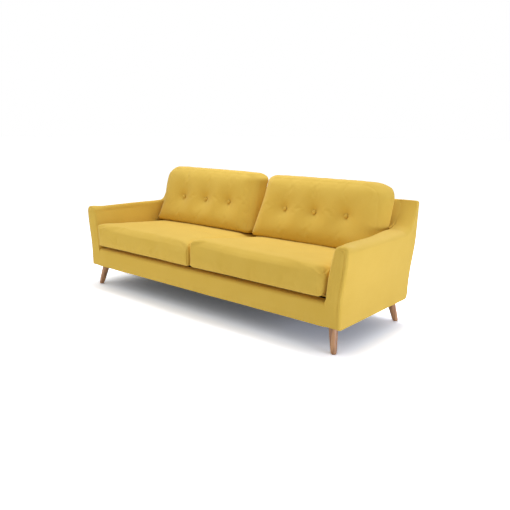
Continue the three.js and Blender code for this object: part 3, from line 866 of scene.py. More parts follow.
@dataclass
class Arm:
    """An upholstered arm, with its facing panel sewn round the front."""

    body: Body
    inner_edge: float = 0.018
    outer_edge: float = 0.015
    rear_edge: float = 0.012
    hem: float = 0.012
    hem_depth: float = 0.006
    hem_share: float = 0.3
    facing_reach: float = 0.040
    facing_seam: float = 0.019
    outer_sharpness: float = 0.60
    ridge_sharpness: float = 0.30
    top_slope: float = 0.014
    seam_depth: float = 0.0024
    seam_width: float = 0.0022
    facing_swell: float = 0.004
    swell_run: float = 0.02
    swell_fade: float = 0.05
    foot_clear: float = 0.035
    foot_fade: float = 0.07
    border_top: float = 0.297
    border_lap: float = 0.016
    border_fade: float = 0.022
    crown_start: float = 0.02
    crown_run: float = 0.10
    square_lead: float = 0.02
    square_run: float = 0.045
    square_power: float = 0.06
    least_reach: float = 0.012
    wall_steps: int = 40
    top_steps: int = 26
    edge_steps: int = 7
    level_steps: int = 30
    sweep_steps: int = 18
    facing_steps: int = 16
    slot: str = "mustard_fabric"

    def ring(
        self, depth: float, panel_in: float, round_in: float, outer_in: float, foot: float
    ) -> list[tuple]:
        """One ring about the right arm.

        Args:
            depth: From the front plane.
            panel_in: How far the inner wall is drawn in.
            round_in: How much further it is drawn in above the border.
            outer_in: How far the outer wall and the top are drawn in.
            foot: Height of the ring's lowest points.

        Returns:
            Its points, up the inner wall, over the top and down the outer wall.
        """
        body = self.body

        def inner_wall(z: float) -> float:
            """Distance from the middle to the inner wall at a height."""
            free = eased((z - self.border_top + self.border_lap) / self.border_fade)
            return body.inner(z, depth) + panel_in + round_in * free

        swept = eased((depth - body.sweep_start) / body.sweep_length)
        square = eased((depth - body.sweep_start + self.square_lead) / self.square_run)
        behind = eased((depth - self.crown_start) / self.crown_run)
        round_height = body.arm_top_round * (1 - swept) + body.back_end_round * swept
        round_height -= outer_in * 0.5
        shoulder = body.arm_top(depth) - outer_in - round_height
        heights = [foot + (shoulder - foot) * i / self.wall_steps for i in range(self.wall_steps)]
        inner = [(inner_wall(z), z) for z in heights]
        outer = [(body.outer(z, depth) - outer_in, z) for z in reversed(heights)]
        low = inner_wall(shoulder)
        high = body.outer(shoulder, depth) - outer_in
        middle, reach = (low + high) / 2, (high - low) / 2
        top = []
        for i in range(self.top_steps + 1):
            turn = math.pi * (1 - i / self.top_steps)
            power = round_height / max(reach, self.least_reach)
            if math.cos(turn) < 0:
                power *= 1 + (self.ridge_sharpness - 1) * behind
                power += (self.square_power - power) * square
            else:
                power *= self.outer_sharpness + (1 - self.outer_sharpness) * behind * (1 - swept)
            across = math.copysign(abs(math.cos(turn)) ** power, math.cos(turn))
            fall = self.top_slope * behind * (1 - swept) * math.sin(turn) * (across + 1) / 2
            top.append((middle + reach * across, shoulder + round_height * math.sin(turn) - fall))
        return [body.leaned(x, depth, z) for x, z in inner + top + outer]

    def stations(self) -> list[float]:
        """Depths of the rings, close together where the form turns.

        Returns:
            The depths, from the front to the rear.
        """
        body = self.body
        face = body.sweep_start + body.sweep_length
        last = body.depth - self.rear_edge
        fine = quarter(self.edge_steps)
        edge = [self.outer_edge * (1 - math.cos(turn)) for turn in fine[:-1]]
        level = np.linspace(self.outer_edge, body.sweep_start, self.level_steps)
        sweep = [
            body.sweep_start + body.sweep_length * math.sin(turn)
            for turn in quarter(self.sweep_steps)[1:]
        ]
        crest = [face + body.wing_round * (1 - math.cos(turn)) for turn in fine[1:]]
        rear = [last + self.rear_edge * math.sin(turn) for turn in fine]
        return [*edge, *level, *sweep, *crest, *rear]

    def free_of_border(self, x: float, z: float) -> float:
        """How much of its swell the facing has at a point: none where it meets the border.

        Args:
            x: Distance from the middle.
            z: Height above the floor.

        Returns:
            A share from 0 to 1.
        """
        above = eased((z - self.border_top) / self.swell_fade)
        aside = eased((x - self.body.seat_half) / self.swell_fade)
        return max(above, aside) * eased((z - self.body.base - self.foot_clear) / self.foot_fade)

    def facing(self) -> list[list[tuple]]:
        """Rings of the front panel.

        Returns:
            The rings, from the panel's middle out to its edge.
        """
        rings = []
        run = self.outer_edge - self.facing_reach
        for i in range(self.facing_steps):
            inset = self.facing_reach + run * i / self.facing_steps
            foot = self.body.base + self.hem_depth + inset - self.outer_edge
            ring = self.ring(0.0, inset - self.outer_edge, self.inner_edge, inset, foot)
            outer_side = len(ring) // 2
            from_seam = (inset - self.facing_seam) / self.seam_width
            groove = self.seam_depth * math.exp(-(from_seam**2))
            swell = self.facing_swell * eased((inset - self.facing_seam) / self.swell_run)
            rings.append([
                (x, y - swell * self.free_of_border(x, z) + groove * (number >= outer_side), z)
                for number, (x, y, z) in enumerate(ring)
            ])
        return rings

    def build(self) -> bpy.types.Object:
        """Makes the right arm.

        Returns:
            The arm.
        """
        skin = Skin()
        body = self.body
        rings = self.facing()
        for depth in self.stations():
            inner_in = arc_inset(depth, self.inner_edge)
            rear_in = arc_inset(body.depth - depth, self.rear_edge)
            outer_in = max(arc_inset(depth, self.outer_edge), rear_in)
            foot = body.underside(depth) + arc_inset(depth, self.hem_depth) + rear_in / 3
            rings.append(self.ring(depth, 0.0, inner_in, outer_in, foot))
        count = len(rings[0])
        starts = skin.add_rings(rings, around=False)
        skin.close_ring(starts[0], count, flip=True)
        skin.close_ring(starts[-1], count, flip=False)
        self.add_underside(skin, starts, count)
        arm = skin.build("right_arm", self.slot)
        face_out(arm)
        return arm

    def add_underside(self, skin: Skin, starts: list[int], count: int) -> None:
        """Turns the hem under and closes the arm above it.

        Args:
            skin: The skin to add to.
            starts: The first point of each ring.
            count: How many points a ring has.
        """
        rows = []
        for start in starts:
            low, high = skin.points[start], skin.points[start + count - 1]
            hem = min(self.hem, (high[0] - low[0]) * self.hem_share)
            rise = self.hem_depth * clamp((low[1] - self.body.front) / self.hem_depth)
            inner = [(low[0] + hem * t, low[1], low[2] + rise * t * t) for t in (0.5, 1.0)]
            outer = [(high[0] - hem * t, high[1], high[2] + rise * t * t) for t in (1.0, 0.5)]
            rows.append((start, skin.add_points(inner + outer)))
        rows = [(start, *range(first, first + 4), start + count - 1) for start, first in rows]
        for a, b in zip(rows, rows[1:]):
            for j in range(len(a) - 1):
                skin.faces.append((a[j], a[j + 1], b[j + 1], b[j]))
        skin.faces += [rows[0], rows[-1]]


@dataclass
class Upholstery:
    """The arms, the front border and the padded back: all that is fixed to the frame."""

    body: Body
    length_steps: int = 150
    border_round: float = 0.022
    border_foot_round: float = 0.005
    border_top_drop: float = 0.017
    border_end_drop: float = 0.009
    border_end_run: float = 0.042
    border_swell: float = 0.003
    back_round: float = 0.024
    back_rake: float = 11.0
    back_end_run: float = 0.060
    back_overlap: float = 0.012
    back_proud: float = 0.0015
    panel_edge: float = 0.004
    panel_thickness: float = 0.006
    panel_gap: float = 0.0003
    end_lap: float = 0.001
    end_steps: int = 12
    arm_run: float = 0.03
    lap_lead: float = 0.012
    lap_fade: float = 0.008
    lap_start: float = 0.62
    lap_rise: float = 0.04
    lap_run: float = 0.012
    wing_start: float = 0.5
    wing_rise: float = 0.1
    tack_strip: float = 0.012
    tack_height: float = 0.09
    slope_height: float = 0.10
    swell_run: float = 0.08
    end_roll: float = 0.004
    rear_roll: float = 0.018
    rear_foot: float = 0.045
    rear_foot_lean: float = 0.2
    seam_lip: Pair = (0.006, 0.0005)
    seam_crest: Pair = (0.001, 0.003)
    foot_arc_steps: int = 5
    top_arc_steps: int = 7
    face_steps: int = 14
    roll_steps: int = 9
    back_steps: int = 24
    panel_steps: int = 36
    ripple_height: float = 0.0012
    ripple_lengths: Triple = (0.2, 0.2, 0.12)
    ripple_seed: float = 3.1
    slot: str = "mustard_fabric"

    def along(self, reach: float, end_run: float) -> list[float]:
        """Places along the sofa, closer together near the ends.

        Args:
            reach: Distance from the middle to each end.
            end_run: Length at each end that gets its own fine steps.

        Returns:
            The places, from left to right.
        """
        fine = [reach - end_run * (1 - math.sin(turn)) for turn in quarter(self.end_steps)[1:]]
        middle = list(np.linspace(-(reach - end_run), reach - end_run, self.length_steps))
        return [-x for x in reversed(fine)] + middle + fine

    def extrude(
        self,
        name: str,
        reach: float,
        end_run: float,
        outline: Callable[[float], list[Pair]],
    ) -> bpy.types.Object:
        """Runs an outline along the sofa.

        Args:
            name: The piece's name.
            reach: Distance from the middle to each end.
            end_run: Length at each end with fine steps.
            outline: Gives the (y, z) points at a distance from the nearest end.

        Returns:
            The piece.
        """
        skin = Skin()
        places = self.along(reach, end_run)
        rings = [
            [(x + self.to_arm(x, y, z, reach), y, z) for y, z in outline(reach - abs(x))]
            for x in places
        ]
        starts = skin.add_rings(rings, around=True)
        count = len(rings[0])
        skin.cap(starts[0], count)
        skin.cap(starts[-1], count, flip=True)
        piece = skin.build(name, self.slot)
        face_out(piece)
        return piece

    def to_arm(self, x: float, y: float, z: float, reach: float) -> float:
        """How far a point near an end moves out to stay against the leaning arm.

        Args:
            x: The point's X.
            y: Its Y.
            z: Its height.
            reach: Distance from the middle to each end.

        Returns:
            The move along X.
        """
        near_end = eased((abs(x) - reach + self.arm_run) / self.arm_run)
        room = self.body.inner(z, y - self.body.front) - self.body.seat_half
        on_face = eased((self.body.wing_face(z) + self.lap_lead - y) / self.lap_fade)
        room += self.back_overlap * on_face * eased((z - self.lap_start) / self.lap_rise)
        return math.copysign(room * near_end, x)

    def border_outline(self, from_end: float) -> list[Pair]:
        """The front border's outline.

        Args:
            from_end: Distance from the border's nearest end.

        Returns:
            Its (y, z) points.
        """
        front = self.body.front
        low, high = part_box("front_border")
        near_end = 1 - min(1.0, from_end / self.border_end_run)
        end_drop = self.border_end_drop * (1 - math.sqrt(1 - near_end**2))
        top = high.z - self.border_top_drop - end_drop
        radius, foot_radius = self.border_round, self.border_foot_round
        bottom, shoulder = low.z + foot_radius, top - radius
        swell = self.border_swell * eased(from_end / self.swell_run)
        inset = low.y + self.tack_strip
        points = [(high.y, top), (high.y, low.z + self.slope_height)]
        points += [(inset, low.z + self.tack_height), (inset, low.z)]
        for turn in quarter(self.foot_arc_steps):
            y = front + foot_radius * (1 - math.sin(turn))
            points.append((y, low.z + foot_radius * (1 - math.cos(turn))))
        for i in range(1, self.face_steps):
            share = i / self.face_steps
            bulge = swell * math.sin(math.pi * share)
            points.append((front - bulge, bottom + (shoulder - bottom) * share))
        for turn in quarter(self.top_arc_steps):
            y = front + radius * (1 - math.cos(turn))
            points.append((y, shoulder + radius * math.sin(turn)))
        for share in (0.25, 0.5, 0.75):
            points.append((low.y + radius + (high.y - low.y - radius) * share, top))
        return points

    def inside_back_outline(self, from_end: float) -> list[Pair]:
        """The padded inside back's outline, with the roll over its top.

        Args:
            from_end: Distance from the back's nearest end.

        Returns:
            Its (y, z) points.
        """
        body = self.body
        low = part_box("inside_back")[0]
        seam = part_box("outside_back")[1].z
        near_end = eased(1 - from_end / self.back_end_run)
        roll = self.back_round + (self.end_roll - self.back_round) * near_end
        shoulder = body.back_height - roll
        slope = math.tan(math.radians(self.back_rake))

        def face(z: float) -> float:
            """Depth of the padded face, which meets the arm's sweep at its ends.

            Args:
                z: Height above the floor.

            Returns:
                The Y.
            """
            middle = low.y + (z - low.z) * slope
            lap = self.back_proud * (1 - 2 * eased(1 - from_end / self.lap_run))
            wing = body.wing_face(z) - lap
            rise = eased((z - self.wing_start) / self.wing_rise)
            return middle + (wing - middle) * near_end * rise

        rear_seam = body.front + body.rear(seam)
        rear = body.front + body.rear(shoulder)
        rear_low = rear_seam - self.rear_foot
        points = [(rear_low, low.z), (rear_low + body.lean(seam) * self.rear_foot_lean, seam)]
        for inset, rise in (self.seam_lip, self.seam_crest):
            points.append((rear_seam - inset, seam + rise))
        arc = quarter(self.roll_steps)
        for turn in arc:
            y = rear - self.rear_roll * (1 - math.cos(turn))
            points.append((y, shoulder + roll * math.sin(turn)))
        for turn in reversed(arc):
            y = face(shoulder) + roll * (1 - math.cos(turn))
            points.append((y, shoulder + roll * math.sin(turn)))
        for i in range(1, self.back_steps + 1):
            z = shoulder + (low.z - shoulder) * i / self.back_steps
            points.append((face(z), z))
        return points

    def outside_back_outline(self, from_end: float) -> list[Pair]:
        """The outside back's outline, whose edges turn in along their seams.

        Args:
            from_end: Distance from the panel's nearest end.

        Returns:
            Its (y, z) points.
        """
        body = self.body
        low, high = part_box("outside_back")
        edge = self.panel_edge
        turn_in = edge - math.sqrt(max(0.0, edge**2 - max(0.0, edge - from_end) ** 2))
        outer = []
        for i in range(self.panel_steps + 1):
            z = low.z + (high.z - low.z) * i / self.panel_steps
            top_in = arc_inset(high.z - z, edge)
            outer.append((body.front + body.rear(z) - max(turn_in, top_in), z))
        inner = [(y - self.panel_thickness, z) for y, z in reversed(outer)]
        return outer + inner

    def build(self) -> list[bpy.types.Object]:
        """Makes every piece that is fixed to the frame.

        Returns:
            The pieces.
        """
        arm = Arm(self.body).build()
        pieces = [arm, mirrored(arm, "left_arm")]
        for piece, side in zip(pieces, (Side.RIGHT, Side.LEFT)):
            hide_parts(f"{side.word}_arm_upholstery")
        reach = self.body.seat_half
        runs = [
            ("front_border", -self.end_lap, self.border_end_run, self.border_outline),
            ("inside_back", -self.end_lap, self.back_end_run, self.inside_back_outline),
            ("outside_back", self.panel_gap, self.panel_edge, self.outside_back_outline),
        ]
        for node, gap, end_run, outline in runs:
            piece = self.extrude(f"{node}_cover", reach - gap, end_run, outline)
            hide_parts(node)
            pieces.append(piece)
        for number, piece in enumerate(pieces):
            ripple(piece, self.ripple_height, self.ripple_lengths, self.ripple_seed * number)
            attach(piece, "frame")
        return pieces


@dataclass
class Sheet:
    """A flat cloth panel that sags a little between its stapled edges."""

    node: str
    sag: float
    thickness: float
    slot: str
    hem: float = 0.012
    stitch_depth: float = 0.0012
    stitch_width: float = 0.002
    steps: tuple[int, int] = (120, 44)

    def build(self) -> bpy.types.Object:
        """Makes the panel in its node's place.

        Returns:
            The panel.
        """
        low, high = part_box(self.node)
        wide, deep = self.steps
        slope = (high.z - low.z - self.thickness) / (high.y - low.y)

        def surface(u: float, v: float, under: float) -> Triple:
            """A point of the panel.

            Args:
                u: How far across it is, from 0 to 1.
                v: How far from the front to the rear, from 0 to 1.
                under: How far through it, from 0 at the top to 1.

            Returns:
                The point.
            """
            x, y = low.x + (high.x - low.x) * u, low.y + (high.y - low.y) * v
            edge = min(x - low.x, high.x - x, y - low.y, high.y - y)
            belly = 16 * u * (1 - u) * v * (1 - v)
            stitch = self.stitch_depth * math.exp(-(((edge - self.hem) / self.stitch_width) ** 2))
            z = high.z - slope * (y - low.y) - self.sag * belly - stitch
            return x, y, z - under * self.thickness

        skin = Skin()
        rows, width = deep + 1, wide + 1
        top, bottom = (
            [[surface(i / wide, j / deep, under) for i in range(width)] for j in range(rows)]
            for under in (0.0, 1.0)
        )
        upper = skin.add_rings(top, around=False)
        count = len(skin.points)
        skin.add_rings(bottom[::-1], around=False)
        rim = [(0, i) for i in range(width)] + [(j, wide) for j in range(1, rows)]
        rim += [(deep, i) for i in reversed(range(wide))]
        rim += [(j, 0) for j in reversed(range(1, deep))]
        for (j, i), (m, k) in zip(rim, rim[1:] + rim[:1]):
            a, b = upper[j] + i, upper[m] + k
            c, d = count + (deep - m) * width + k, count + (deep - j) * width + i
            skin.faces.append((b, a, d, c))
        piece = skin.build(f"{self.node}_sheet", self.slot)
        face_out(piece)
        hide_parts(self.node)
        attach(piece, "frame")
        return piece


# ---------------------------------------------------------------- cushions


@dataclass(frozen=True)
class Filling:
    """How a sewn cover swells over its filling, worked out with simulated cloth."""

    pressure: float = 4.0
    frames: int = 20
    cap: float = 0.016
    slack: float = 0.0
    stiffness: float = 14.0
    bending: float = 0.6
    quality: int = 6
    mass: float = 0.25

    def swell(self, piece: bpy.types.Object, held: np.ndarray) -> None:
        """Blows the cover up and keeps its shape.

        Args:
            piece: The cover, which is changed.
            held: For each vertex, how firmly it stays where it is, from 0 to 1.
        """
        group = piece.vertex_groups.new(name="held")
        for index in np.nonzero(held > 0)[0]:
            group.add([int(index)], float(held[index]), "REPLACE")
        cover = piece.modifiers.new("cover", "CLOTH")
        settings = cover.settings
        settings.quality = self.quality
        settings.mass = self.mass
        settings.tension_stiffness = self.stiffness
        settings.compression_stiffness = self.stiffness
        settings.shear_stiffness = self.stiffness / 2
        settings.bending_stiffness = self.bending
        settings.use_pressure = True
        settings.uniform_pressure_force = self.pressure
        settings.vertex_group_mass = group.name
        settings.shrink_min = -self.slack
        settings.effector_weights.gravity = 0.0
        cover.collision_settings.use_collision = False
        cover.point_cache.frame_start = 1
        cover.point_cache.frame_end = self.frames
        before = vertex_rows(piece)
        for number in range(1, self.frames + 1):
            bpy.context.scene.frame_set(number)
        graph = bpy.context.evaluated_depsgraph_get()
        moved = vertex_rows(piece.evaluated_get(graph)) - before
        length = np.linalg.norm(moved, axis=1, keepdims=True)
        limited = self.cap * np.tanh(length / self.cap) / np.maximum(length, SMALLEST)
        piece.modifiers.remove(cover)
        piece.vertex_groups.remove(group)
        bpy.context.scene.frame_set(1)
        places = before + moved * limited
        for was, now in zip(before.T, places.T):
            middle, centre = (was.max() + was.min()) / 2, (now.max() + now.min()) / 2
            now[:] = (now - centre) * (np.ptp(was) / np.ptp(now)) + middle
        place_vertices(piece, places)


@dataclass
class PaddedBlock:
    """A block with round edges as a fine grid, with its six faces known at each vertex."""

    size: Vector
    edge: float
    step: float
    arc_steps: int = 4
    rear_square: float = 0.0
    digits: int = 6

    def __post_init__(self) -> None:
        """Works out the grid's points, faces and edge marks."""
        lines = [self._lines(self.size[axis] / 2) for axis in range(3)]
        half = np.array(self.size) / 2
        index_of: dict[tuple, int] = {}
        points: list[np.ndarray] = []
        touched: list[set[Face]] = []
        quads: list[tuple[int, ...]] = []
        for face in Face:
            axis, sign = face.value
            u, v = (axis + 1) % 3, (axis + 2) % 3
            numbers = []
            for core_u, lean_u in lines[u]:
                row = []
                for core_v, lean_v in lines[v]:
                    lean, core = np.zeros(3), np.zeros(3)
                    lean[axis], core[axis] = sign, sign * (half[axis] - self.edge)
                    lean[u], core[u] = lean_u, core_u
                    lean[v], core[v] = lean_v, core_v
                    power = 2.0 + self.rear_square * max(0.0, lean[1])
                    point = core + lean * (self.edge / (np.abs(lean) ** power).sum() ** (1 / power))
                    key = tuple(np.round(point, self.digits))
                    if key not in index_of:
                        index_of[key] = len(points)
                        points.append(point)
                        touched.append(set())
                    touched[index_of[key]].add(face)
                    row.append(index_of[key])
                numbers.append(row)
            for near, far in zip(numbers, numbers[1:]):
                for j in range(len(near) - 1):
                    quad = (near[j], far[j], far[j + 1], near[j + 1])
                    quads.append(quad if sign > 0 else quad[::-1])
        self.points = np.array(points)
        self.share = self.points / half
        self.touched = touched
        self.quads = quads

    def _lines(self, half: float) -> list[Pair]:
        """Grid lines along one axis.

        Args:
            half: Half of the block's size along it.

        Returns:
            (core, lean) pairs from one edge to the other.
        """
        core = half - self.edge
        arc = [math.tan(math.pi / 4 * (1 - i / self.arc_steps)) for i in range(self.arc_steps)]
        flats = max(2, round(2 * core / self.step))
        lines = [(-core, -lean) for lean in arc]
        lines += [(core * (2 * i / flats - 1), 0.0) for i in range(flats + 1)]
        lines += [(core, lean) for lean in reversed(arc)]
        return lines

    def on_seam(self, first: Face, *others: Face) -> np.ndarray:
        """Which vertices lie on an edge between the first face and one of the others."""
        return np.array([first in marks and not marks.isdisjoint(others) for marks in self.touched])

    def round_corner(
        self, across: int, up: int, signs: tuple[int, int], radius: float, rise: float | None = None
    ) -> None:
        """Gives one long edge of the block a larger radius.

        Args:
            across: The first axis of the plane that the corner is seen in.
            up: The second axis.
            signs: Which end of each axis the corner is at.
            radius: The corner's reach along the first axis.
            rise: Its reach along the second axis, if that differs.
        """
        reaches = (radius, rise or radius)
        axes = (across, up)
        centre = [s * (self.size[a] / 2 - reach) for a, s, reach in zip(axes, signs, reaches)]
        p, q = (
            (self.points[:, a] - middle) * s / reach
            for a, middle, s, reach in zip(axes, centre, signs, reaches)
        )
        inside = (p > 0) & (q > 0)
        pushed = (
            p * np.sqrt(np.maximum(0.0, 1 - q * q / 2)),
            q * np.sqrt(np.maximum(0.0, 1 - p * p / 2)),
        )
        for a, s, middle, reach, push in zip(axes, signs, centre, reaches, pushed):
            self.points[inside, a] = (middle + s * reach * push)[inside]

    def build(self, name: str, slot: str) -> bpy.types.Object:
        """Makes the mesh object.

        Args:
            name: The object's name.
            slot: The material slot that it takes its finish from.

        Returns:
            The object.
        """
        piece = Skin([tuple(p) for p in self.points], self.quads).build(name, slot)
        face_out(piece)
        return piece


def finish_cushion(piece: bpy.types.Object, seams: np.ndarray, depth: float) -> None:
    """Presses the seams in a little and smooths the cover.

    Args:
        piece: The cushion.
        seams: Which vertices lie on a seam.
        depth: How far the seams are pressed in.
    """
    places = vertex_rows(piece)
    places[seams] -= vertex_rows(piece, "normal")[seams] * depth
    place_vertices(piece, places)
    divided = piece.modifiers.new("fine", "SUBSURF")
    divided.levels = 1
    divided.render_levels = 1


@dataclass
class SeatCushion:
    """A foam seat cushion whose cover wraps over the front, with a gusset at each end."""

    edge: float = 0.014
    step: float = 0.013
    front_round: float = 0.036
    foot_round: float = 0.020
    front_bow: Pair = (0.095, 0.032)
    inner_round: float = 0.010
    inner_corner: Pair = (0.032, 0.024)
    outer_corner: Pair = (0.024, 0.020)
    foot_corner: Pair = (0.018, 0.015)
    front_rise: Pair = (0.014, 0.032)
    middle_rise: float = 0.20
    right_end_rise: float = 0.3
    rear_sag: Pair = (0.006, 0.012)
    thickness: float = 0.146
    lift: float = 0.009
    arm_gap: float = 0.006
    dent: float = 0.024
    dent_radius: float = 0.030
    rear_round: float = 0.036
    crown: float = 0.013
    swell_room: float = 0.001
    end_room: float = 0.002
    pitch: float = 2.0
    deck_drop: float = 0.0035
    seam_depth: float = 0.0018
    seam_hold: float = 0.9
    under_share: float = -0.9
    arm_run: float = 0.10
    dent_reach: float = 0.8
    dent_pull: Triple = (-0.3, 0.4, -0.85)
    rise_start: float = 0.18
    rise_run: float = 0.70
    crown_power: Pair = (3, 2.4)
    ripple_height: float = 0.0022
    ripple_lengths: Triple = (0.24, 0.10, 0.045)
    ripple_seed: float = 11.0
    filling: Filling = Filling(pressure=3.0, cap=0.014, slack=0.012)
    slot: str = "mustard_fabric"

    def build(self, side: Side) -> bpy.types.Object:
        """Makes one seat cushion.

        Args:
            side: Which one.

        Returns:
            The cushion.
        """
        node = f"seat_cushion_{side.word}"
        low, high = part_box(node)
        pitch = math.radians(self.pitch)
        depth = high.y - low.y
        thickness = self.thickness
        size = Vector((high.x - low.x + self.end_room, depth, thickness))
        size -= Vector((self.swell_room,) * 3)
        block = PaddedBlock(size, self.edge, self.step)
        block.round_corner(1, 2, (-1, 1), self.front_round)
        block.round_corner(1, 2, (-1, -1), self.foot_round)
        block.round_corner(1, 2, (1, 1), self.rear_round)
        block.round_corner(0, 1, (side.value, -1), *self.front_bow)
        block.round_corner(0, 1, (-side.value, -1), self.inner_round)
        block.round_corner(0, 2, (side.value, 1), *self.outer_corner)
        block.round_corner(0, 2, (-side.value, 1), *self.inner_corner)
        for end in (-1, 1):
            block.round_corner(0, 2, (end, -1), *self.foot_corner)
        self.crown_top(block, side)
        round_end = (Face.FRONT, Face.TOP, Face.REAR, Face.UNDER)
        seams = block.on_seam(Face.LEFT, *round_end) | block.on_seam(Face.RIGHT, *round_end)
        seams |= block.on_seam(Face.UNDER, Face.FRONT, Face.REAR)
        piece = block.build(f"{side.word}_seat_cushion_cover", self.slot)
        under = block.share[:, 2] < self.under_share
        held = np.where(seams, self.seam_hold, 0.0)
        held[under] = 1.0
        self.filling.swell(piece, held)
        finish_cushion(piece, seams & ~under, self.seam_depth)
        middle = (low + high) / 2
        deck = low.z - self.deck_drop
        turn = Matrix.Rotation(-pitch, 4, "X")
        run = math.sin(pitch) * depth / 2
        centre = Vector((middle.x, middle.y, deck + thickness / 2 + run + self.lift))
        piece.data.transform(Matrix.Translation(centre) @ turn)
        self.fill_to_arm(piece, side)
        ripple(piece, self.ripple_height, self.ripple_lengths, self.ripple_seed + side.value)
        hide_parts(node)
        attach(piece, f"{side.word}_seat")
        return piece

    def fill_to_arm(self, piece: bpy.types.Object, side: Side) -> None:
        """Lets the outer end bulge out to the leaning arm and dents its front corner.

        Args:
            piece: The cushion, in its place.
            side: Which one it is.
        """
        places = vertex_rows(piece)
        reach = abs(places[:, 0]).max()
        body = Body()
        for index, (x, y, z) in enumerate(places):
            near_arm = eased((abs(x) - reach + self.arm_run) / self.arm_run)
            if near_arm > 0:
                room = body.inner(z, max(0.0, y - body.front)) - self.arm_gap - reach
                places[index, 0] += side.value * near_arm * room
        if side is Side.RIGHT:
            corner = places[np.argmax(places[:, 0] - places[:, 1] * self.dent_reach + places[:, 2])]
            away = np.linalg.norm(places - corner, axis=1)
            pull = self.dent * np.exp(-((away / self.dent_radius) ** 2))
            places += pull[:, None] * np.array(self.dent_pull)
        place_vertices(piece, places)

    def crown_top(self, block: PaddedBlock, side: Side) -> None:
        """Raises the middle of the top and its front, and lets the rear sag.

        Args:
            block: The block, which is changed.
            side: Which cushion it is.
        """
        x, y, z = block.share.T
        across, along = self.crown_power
        swell = np.maximum(0, 1 - np.abs(x) ** across) * np.maximum(0, 1 - np.abs(y) ** along)
        rise, sag = self.front_rise[side.index], self.rear_sag[side.index]
        forward = np.clip(((1 - y) / 2 - self.rise_start) / self.rise_run, 0, 1)
        end = x**2 * np.where(x < 0, 1.0, self.right_end_rise)
        rise *= self.middle_rise + (1 - self.middle_rise) * end
        lift = self.crown * swell - sag + (rise + sag) * forward
        block.points[:, 2] += np.maximum(0, z) * lift


